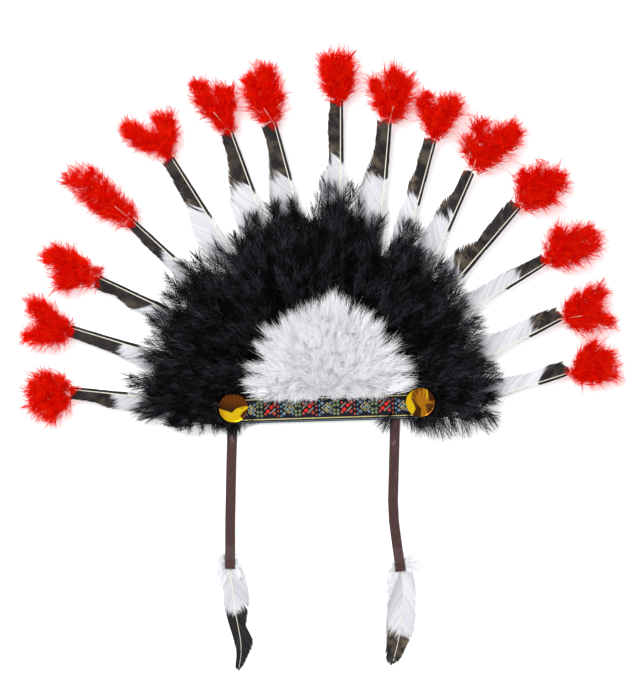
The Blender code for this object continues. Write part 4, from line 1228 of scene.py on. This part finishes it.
def mixed(tree, factor, first, second):
    return add_node(tree, "Mix", {0: factor, 6: first, 7: second}, data_type="RGBA").outputs[2]


def math_node(tree, operation, first, second):
    return add_node(tree, "Math", {0: first, 1: second}, operation=operation, use_clamp=True).outputs[0]


def place_node(tree):
    return add_node(tree, "TexCoord", {}).outputs["Object"]


def noise(tree, scale, detail=3.0, stretch=(1.0, 1.0, 1.0)):
    mapping = add_node(tree, "Mapping", {"Vector": place_node(tree), "Scale": stretch})
    inputs = {"Vector": mapping.outputs["Vector"], "Scale": scale, "Detail": detail}
    return add_node(tree, "TexNoise", inputs).outputs["Fac"]


def bump(tree, height, strength, distance):
    inputs = {"Height": height, "Strength": strength, "Distance": distance}
    return add_node(tree, "Bump", inputs).outputs["Normal"]


def down_material(name, root_shade_color, stops, roughness, shine):
    """Down whose tone changes from strand to strand, with painted shade at its roots that gives way to its
    own tone towards the tips.
    """
    material, tree, shader = new_material(name, roughness, shine)
    along, tone, _, kind = marks_of(tree)
    # Painted shade: near the roots each strand takes the root shade colour instead of its own tone.
    reach = math_node(tree, "POWER", along, 0.6)
    color = mixed(tree, reach, root_shade_color, ramp(tree, tone, stops))
    # The plain heart under the down is coloured with the same painted root shade.
    color = mixed(tree, kind, color, root_shade_color)
    is_quill = math_node(tree, "LESS_THAN", kind, -0.5)
    connect(tree, shader, {"Base Color": mixed(tree, is_quill, color, QUILL_COLOR)})
    return material


def feather_material():
    """White feather greyed with painted shade, with a dark mottled outer part and a cream shaft, all from
    its marks.
    """
    material, tree, shader = new_material("feather", 0.55, 0.12)
    darkness, tone, _, brown = marks_of(tree)
    mottle = ramp(tree, noise(tree, 95.0), MOTTLE_STOPS)
    amount = math_node(tree, "MULTIPLY", mottle, brown)
    dark = mixed(tree, amount, ramp(tree, tone, DARK_VANE_STOPS), MOTTLE_COLOR)
    color = mixed(tree, darkness, ramp(tree, tone, WHITE_VANE_STOPS), dark)
    is_shaft = math_node(tree, "LESS_THAN", brown, -0.5)
    connect(tree, shader, {"Base Color": mixed(tree, is_shaft, color, SHAFT_COLOR)})
    return material


def tinted_material(name, roughness, metallic, shine):
    """A material that takes its colour from the piece's own tints."""
    material, tree, shader = new_material(name, roughness, shine)
    tint = add_node(tree, "Attribute", {}, attribute_name="tint").outputs["Color"]
    connect(tree, shader, {"Base Color": tint, "Metallic": metallic})
    return material


def leatherette():
    """Brown leatherette with a fine grain, and paler patches towards the ribbon that are a painted
    highlight where glue on it shines.
    """
    material, tree, shader = new_material("leatherette", 0.42, 0.3)
    grain = noise(tree, 900.0, 4.0, (1.0, 0.6, 1.0))
    # Painted highlight: paler patches where glue shines, more of them towards the ribbon.
    glue_shine = ramp(tree, noise(tree, 260.0, 5.0, (1.0, 0.35, 1.0)), GLUE_SHINE_STOPS)
    y = add_node(tree, "SeparateXYZ", {"Vector": place_node(tree)}).outputs["Y"]
    inputs = {"Value": y, "From Min": -0.075, "From Max": -0.030, "To Min": 0.12, "To Max": 1.0}
    near_band = add_node(tree, "MapRange", inputs).outputs["Result"]
    amount = math_node(tree, "MULTIPLY", glue_shine, near_band)
    color = mixed(tree, amount, ramp(tree, grain, LEATHER_STOPS), GLUE_SHINE_COLOR)
    connect(tree, shader, {"Base Color": color, "Normal": bump(tree, grain, 0.35, 0.0002)})
    return material


def felt_material():
    """Matt black felt with a fine matted pile."""
    material, tree, shader = new_material("felt", 0.95, 0.1)
    pile = noise(tree, 1400.0, 5.0)
    inputs = {"Base Color": ramp(tree, pile, FELT_STOPS), "Normal": bump(tree, pile, 0.5, 0.0003)}
    connect(tree, shader, inputs)
    return material


def camera():
    """Straight above the headdress, turned and centred as the photograph is."""
    turn = math.radians(PHOTO_TURN_DEG)
    right = (PHOTO_WIDTH / 2 - BAND_MIDDLE_PIXEL[0]) * PIXEL
    rise = (BAND_MIDDLE_PIXEL[1] - PHOTO_HEIGHT / 2) * PIXEL
    x = right * math.cos(turn) + rise * math.sin(turn)
    y = -right * math.sin(turn) + rise * math.cos(turn)
    data = bpy.data.cameras.new("camera")
    data.lens = LENS
    data.sensor_width = SENSOR
    data.clip_end = 100.0
    thing = add_object("camera", data)
    thing.location = (x, y, FOCUS_HEIGHT + PHOTO_HEIGHT * PIXEL * LENS / SENSOR)
    thing.rotation_euler = (0.0, 0.0, -turn)
    bpy.context.scene.camera = thing


def studio():
    """A pale floor, an even sky and one large soft light from the upper left."""
    scene = bpy.context.scene
    scene.view_settings.view_transform = "Standard"
    world = bpy.data.worlds.new("studio")
    world.use_nodes = True
    scene.world = world
    sky = world.node_tree.nodes["Background"]
    connect(world.node_tree, sky, {"Color": SKY, "Strength": SKY_STRENGTH})
    data = bpy.data.lights.new("key", "AREA")
    data.size = KEY_SIZE
    data.energy = KEY_POWER
    key = add_object("key", data)
    key.location = KEY_PLACE
    aim = Vector((0.0, 0.05, 0.0)) - key.location
    key.rotation_euler = aim.to_track_quat("-Z", "Y").to_euler()
    mesh = bpy.data.meshes.new("floor")
    half = FLOOR_SIZE / 2
    corners = [(-half, -half, 0.0), (half, -half, 0.0), (half, half, 0.0), (-half, half, 0.0)]
    mesh.from_pydata(corners, [], [(0, 1, 2, 3)])
    material, tree, shader = new_material("floor", 0.9, 0.1)
    inputs = {"Base Color": FLOOR_COLOR, "Emission Color": FLOOR_LIGHT, "Emission Strength": FLOOR_GLOW}
    connect(tree, shader, inputs)
    mesh.materials.append(material)
    floor = add_object("floor", mesh)


def paint_node(name, material):
    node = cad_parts[name]
    node.data.materials.clear()
    node.data.materials.append(material)
    return node


def down_materials():
    """Red, black and white down: the painted shade at the roots, and colours from the darkest to the palest
    strand.
    """
    red = ((0.0, (0.46, 0.001, 0.0005)), (0.45, (0.92, 0.004, 0.001)), (0.85, (1.0, 0.030, 0.003)))
    # The palest black strands are bluish-grey painted highlights for the down's sheen, over its own
    # near-black tone that varies from strand to strand.
    black = ((0.0, (0.0006, 0.0006, 0.0008)), (0.55, (0.004, 0.004, 0.005)), (1.0, (0.105, 0.107, 0.128)))
    white = ((0.0, (0.88, 0.885, 0.90)), (1.0, (0.98, 0.98, 0.985)))
    return (
        # The second value of each is the painted root shade colour.
        down_material("red_down", (0.52, 0.001, 0.0005), red, 0.7, 0.0),
        down_material("black_down", (0.0006, 0.0006, 0.0008), black, 0.6, 0.03),
        down_material("white_down", (0.82, 0.83, 0.86), white, 0.8, 0.05),
    )


def straps(material):
    for side in SIDES:
        node = paint_node("strap_" + side, material)
        bevel = node.modifiers.new("soft_edges", "BEVEL")
        bevel.width = 0.0003
        bevel.segments = 2
        bevel.limit_method = "ANGLE"
        bevel.angle_limit = math.radians(50.0)


def dress():
    camera()
    studio()
    red, black, white = down_materials()
    feather = feather_material()
    black_ruff(black)
    white_centre(white)
    for index in range(FEATHERS):
        long_feather(index, feather)
        red_tuft(index, red)
    strap_feather("left", feather, white)
    strap_feather("right", feather, white)
    woven_band(tinted_material("woven", 0.65, 0.0, 0.12))
    mirror = tinted_material("amber_mirror", 0.20, 0.9, 0.5)
    mirror_disc("left", left_reflection_zones, mirror)
    mirror_disc("right", right_reflection_zones, mirror)
    straps(leatherette())
    paint_node("felt_backing", felt_material())


dress()
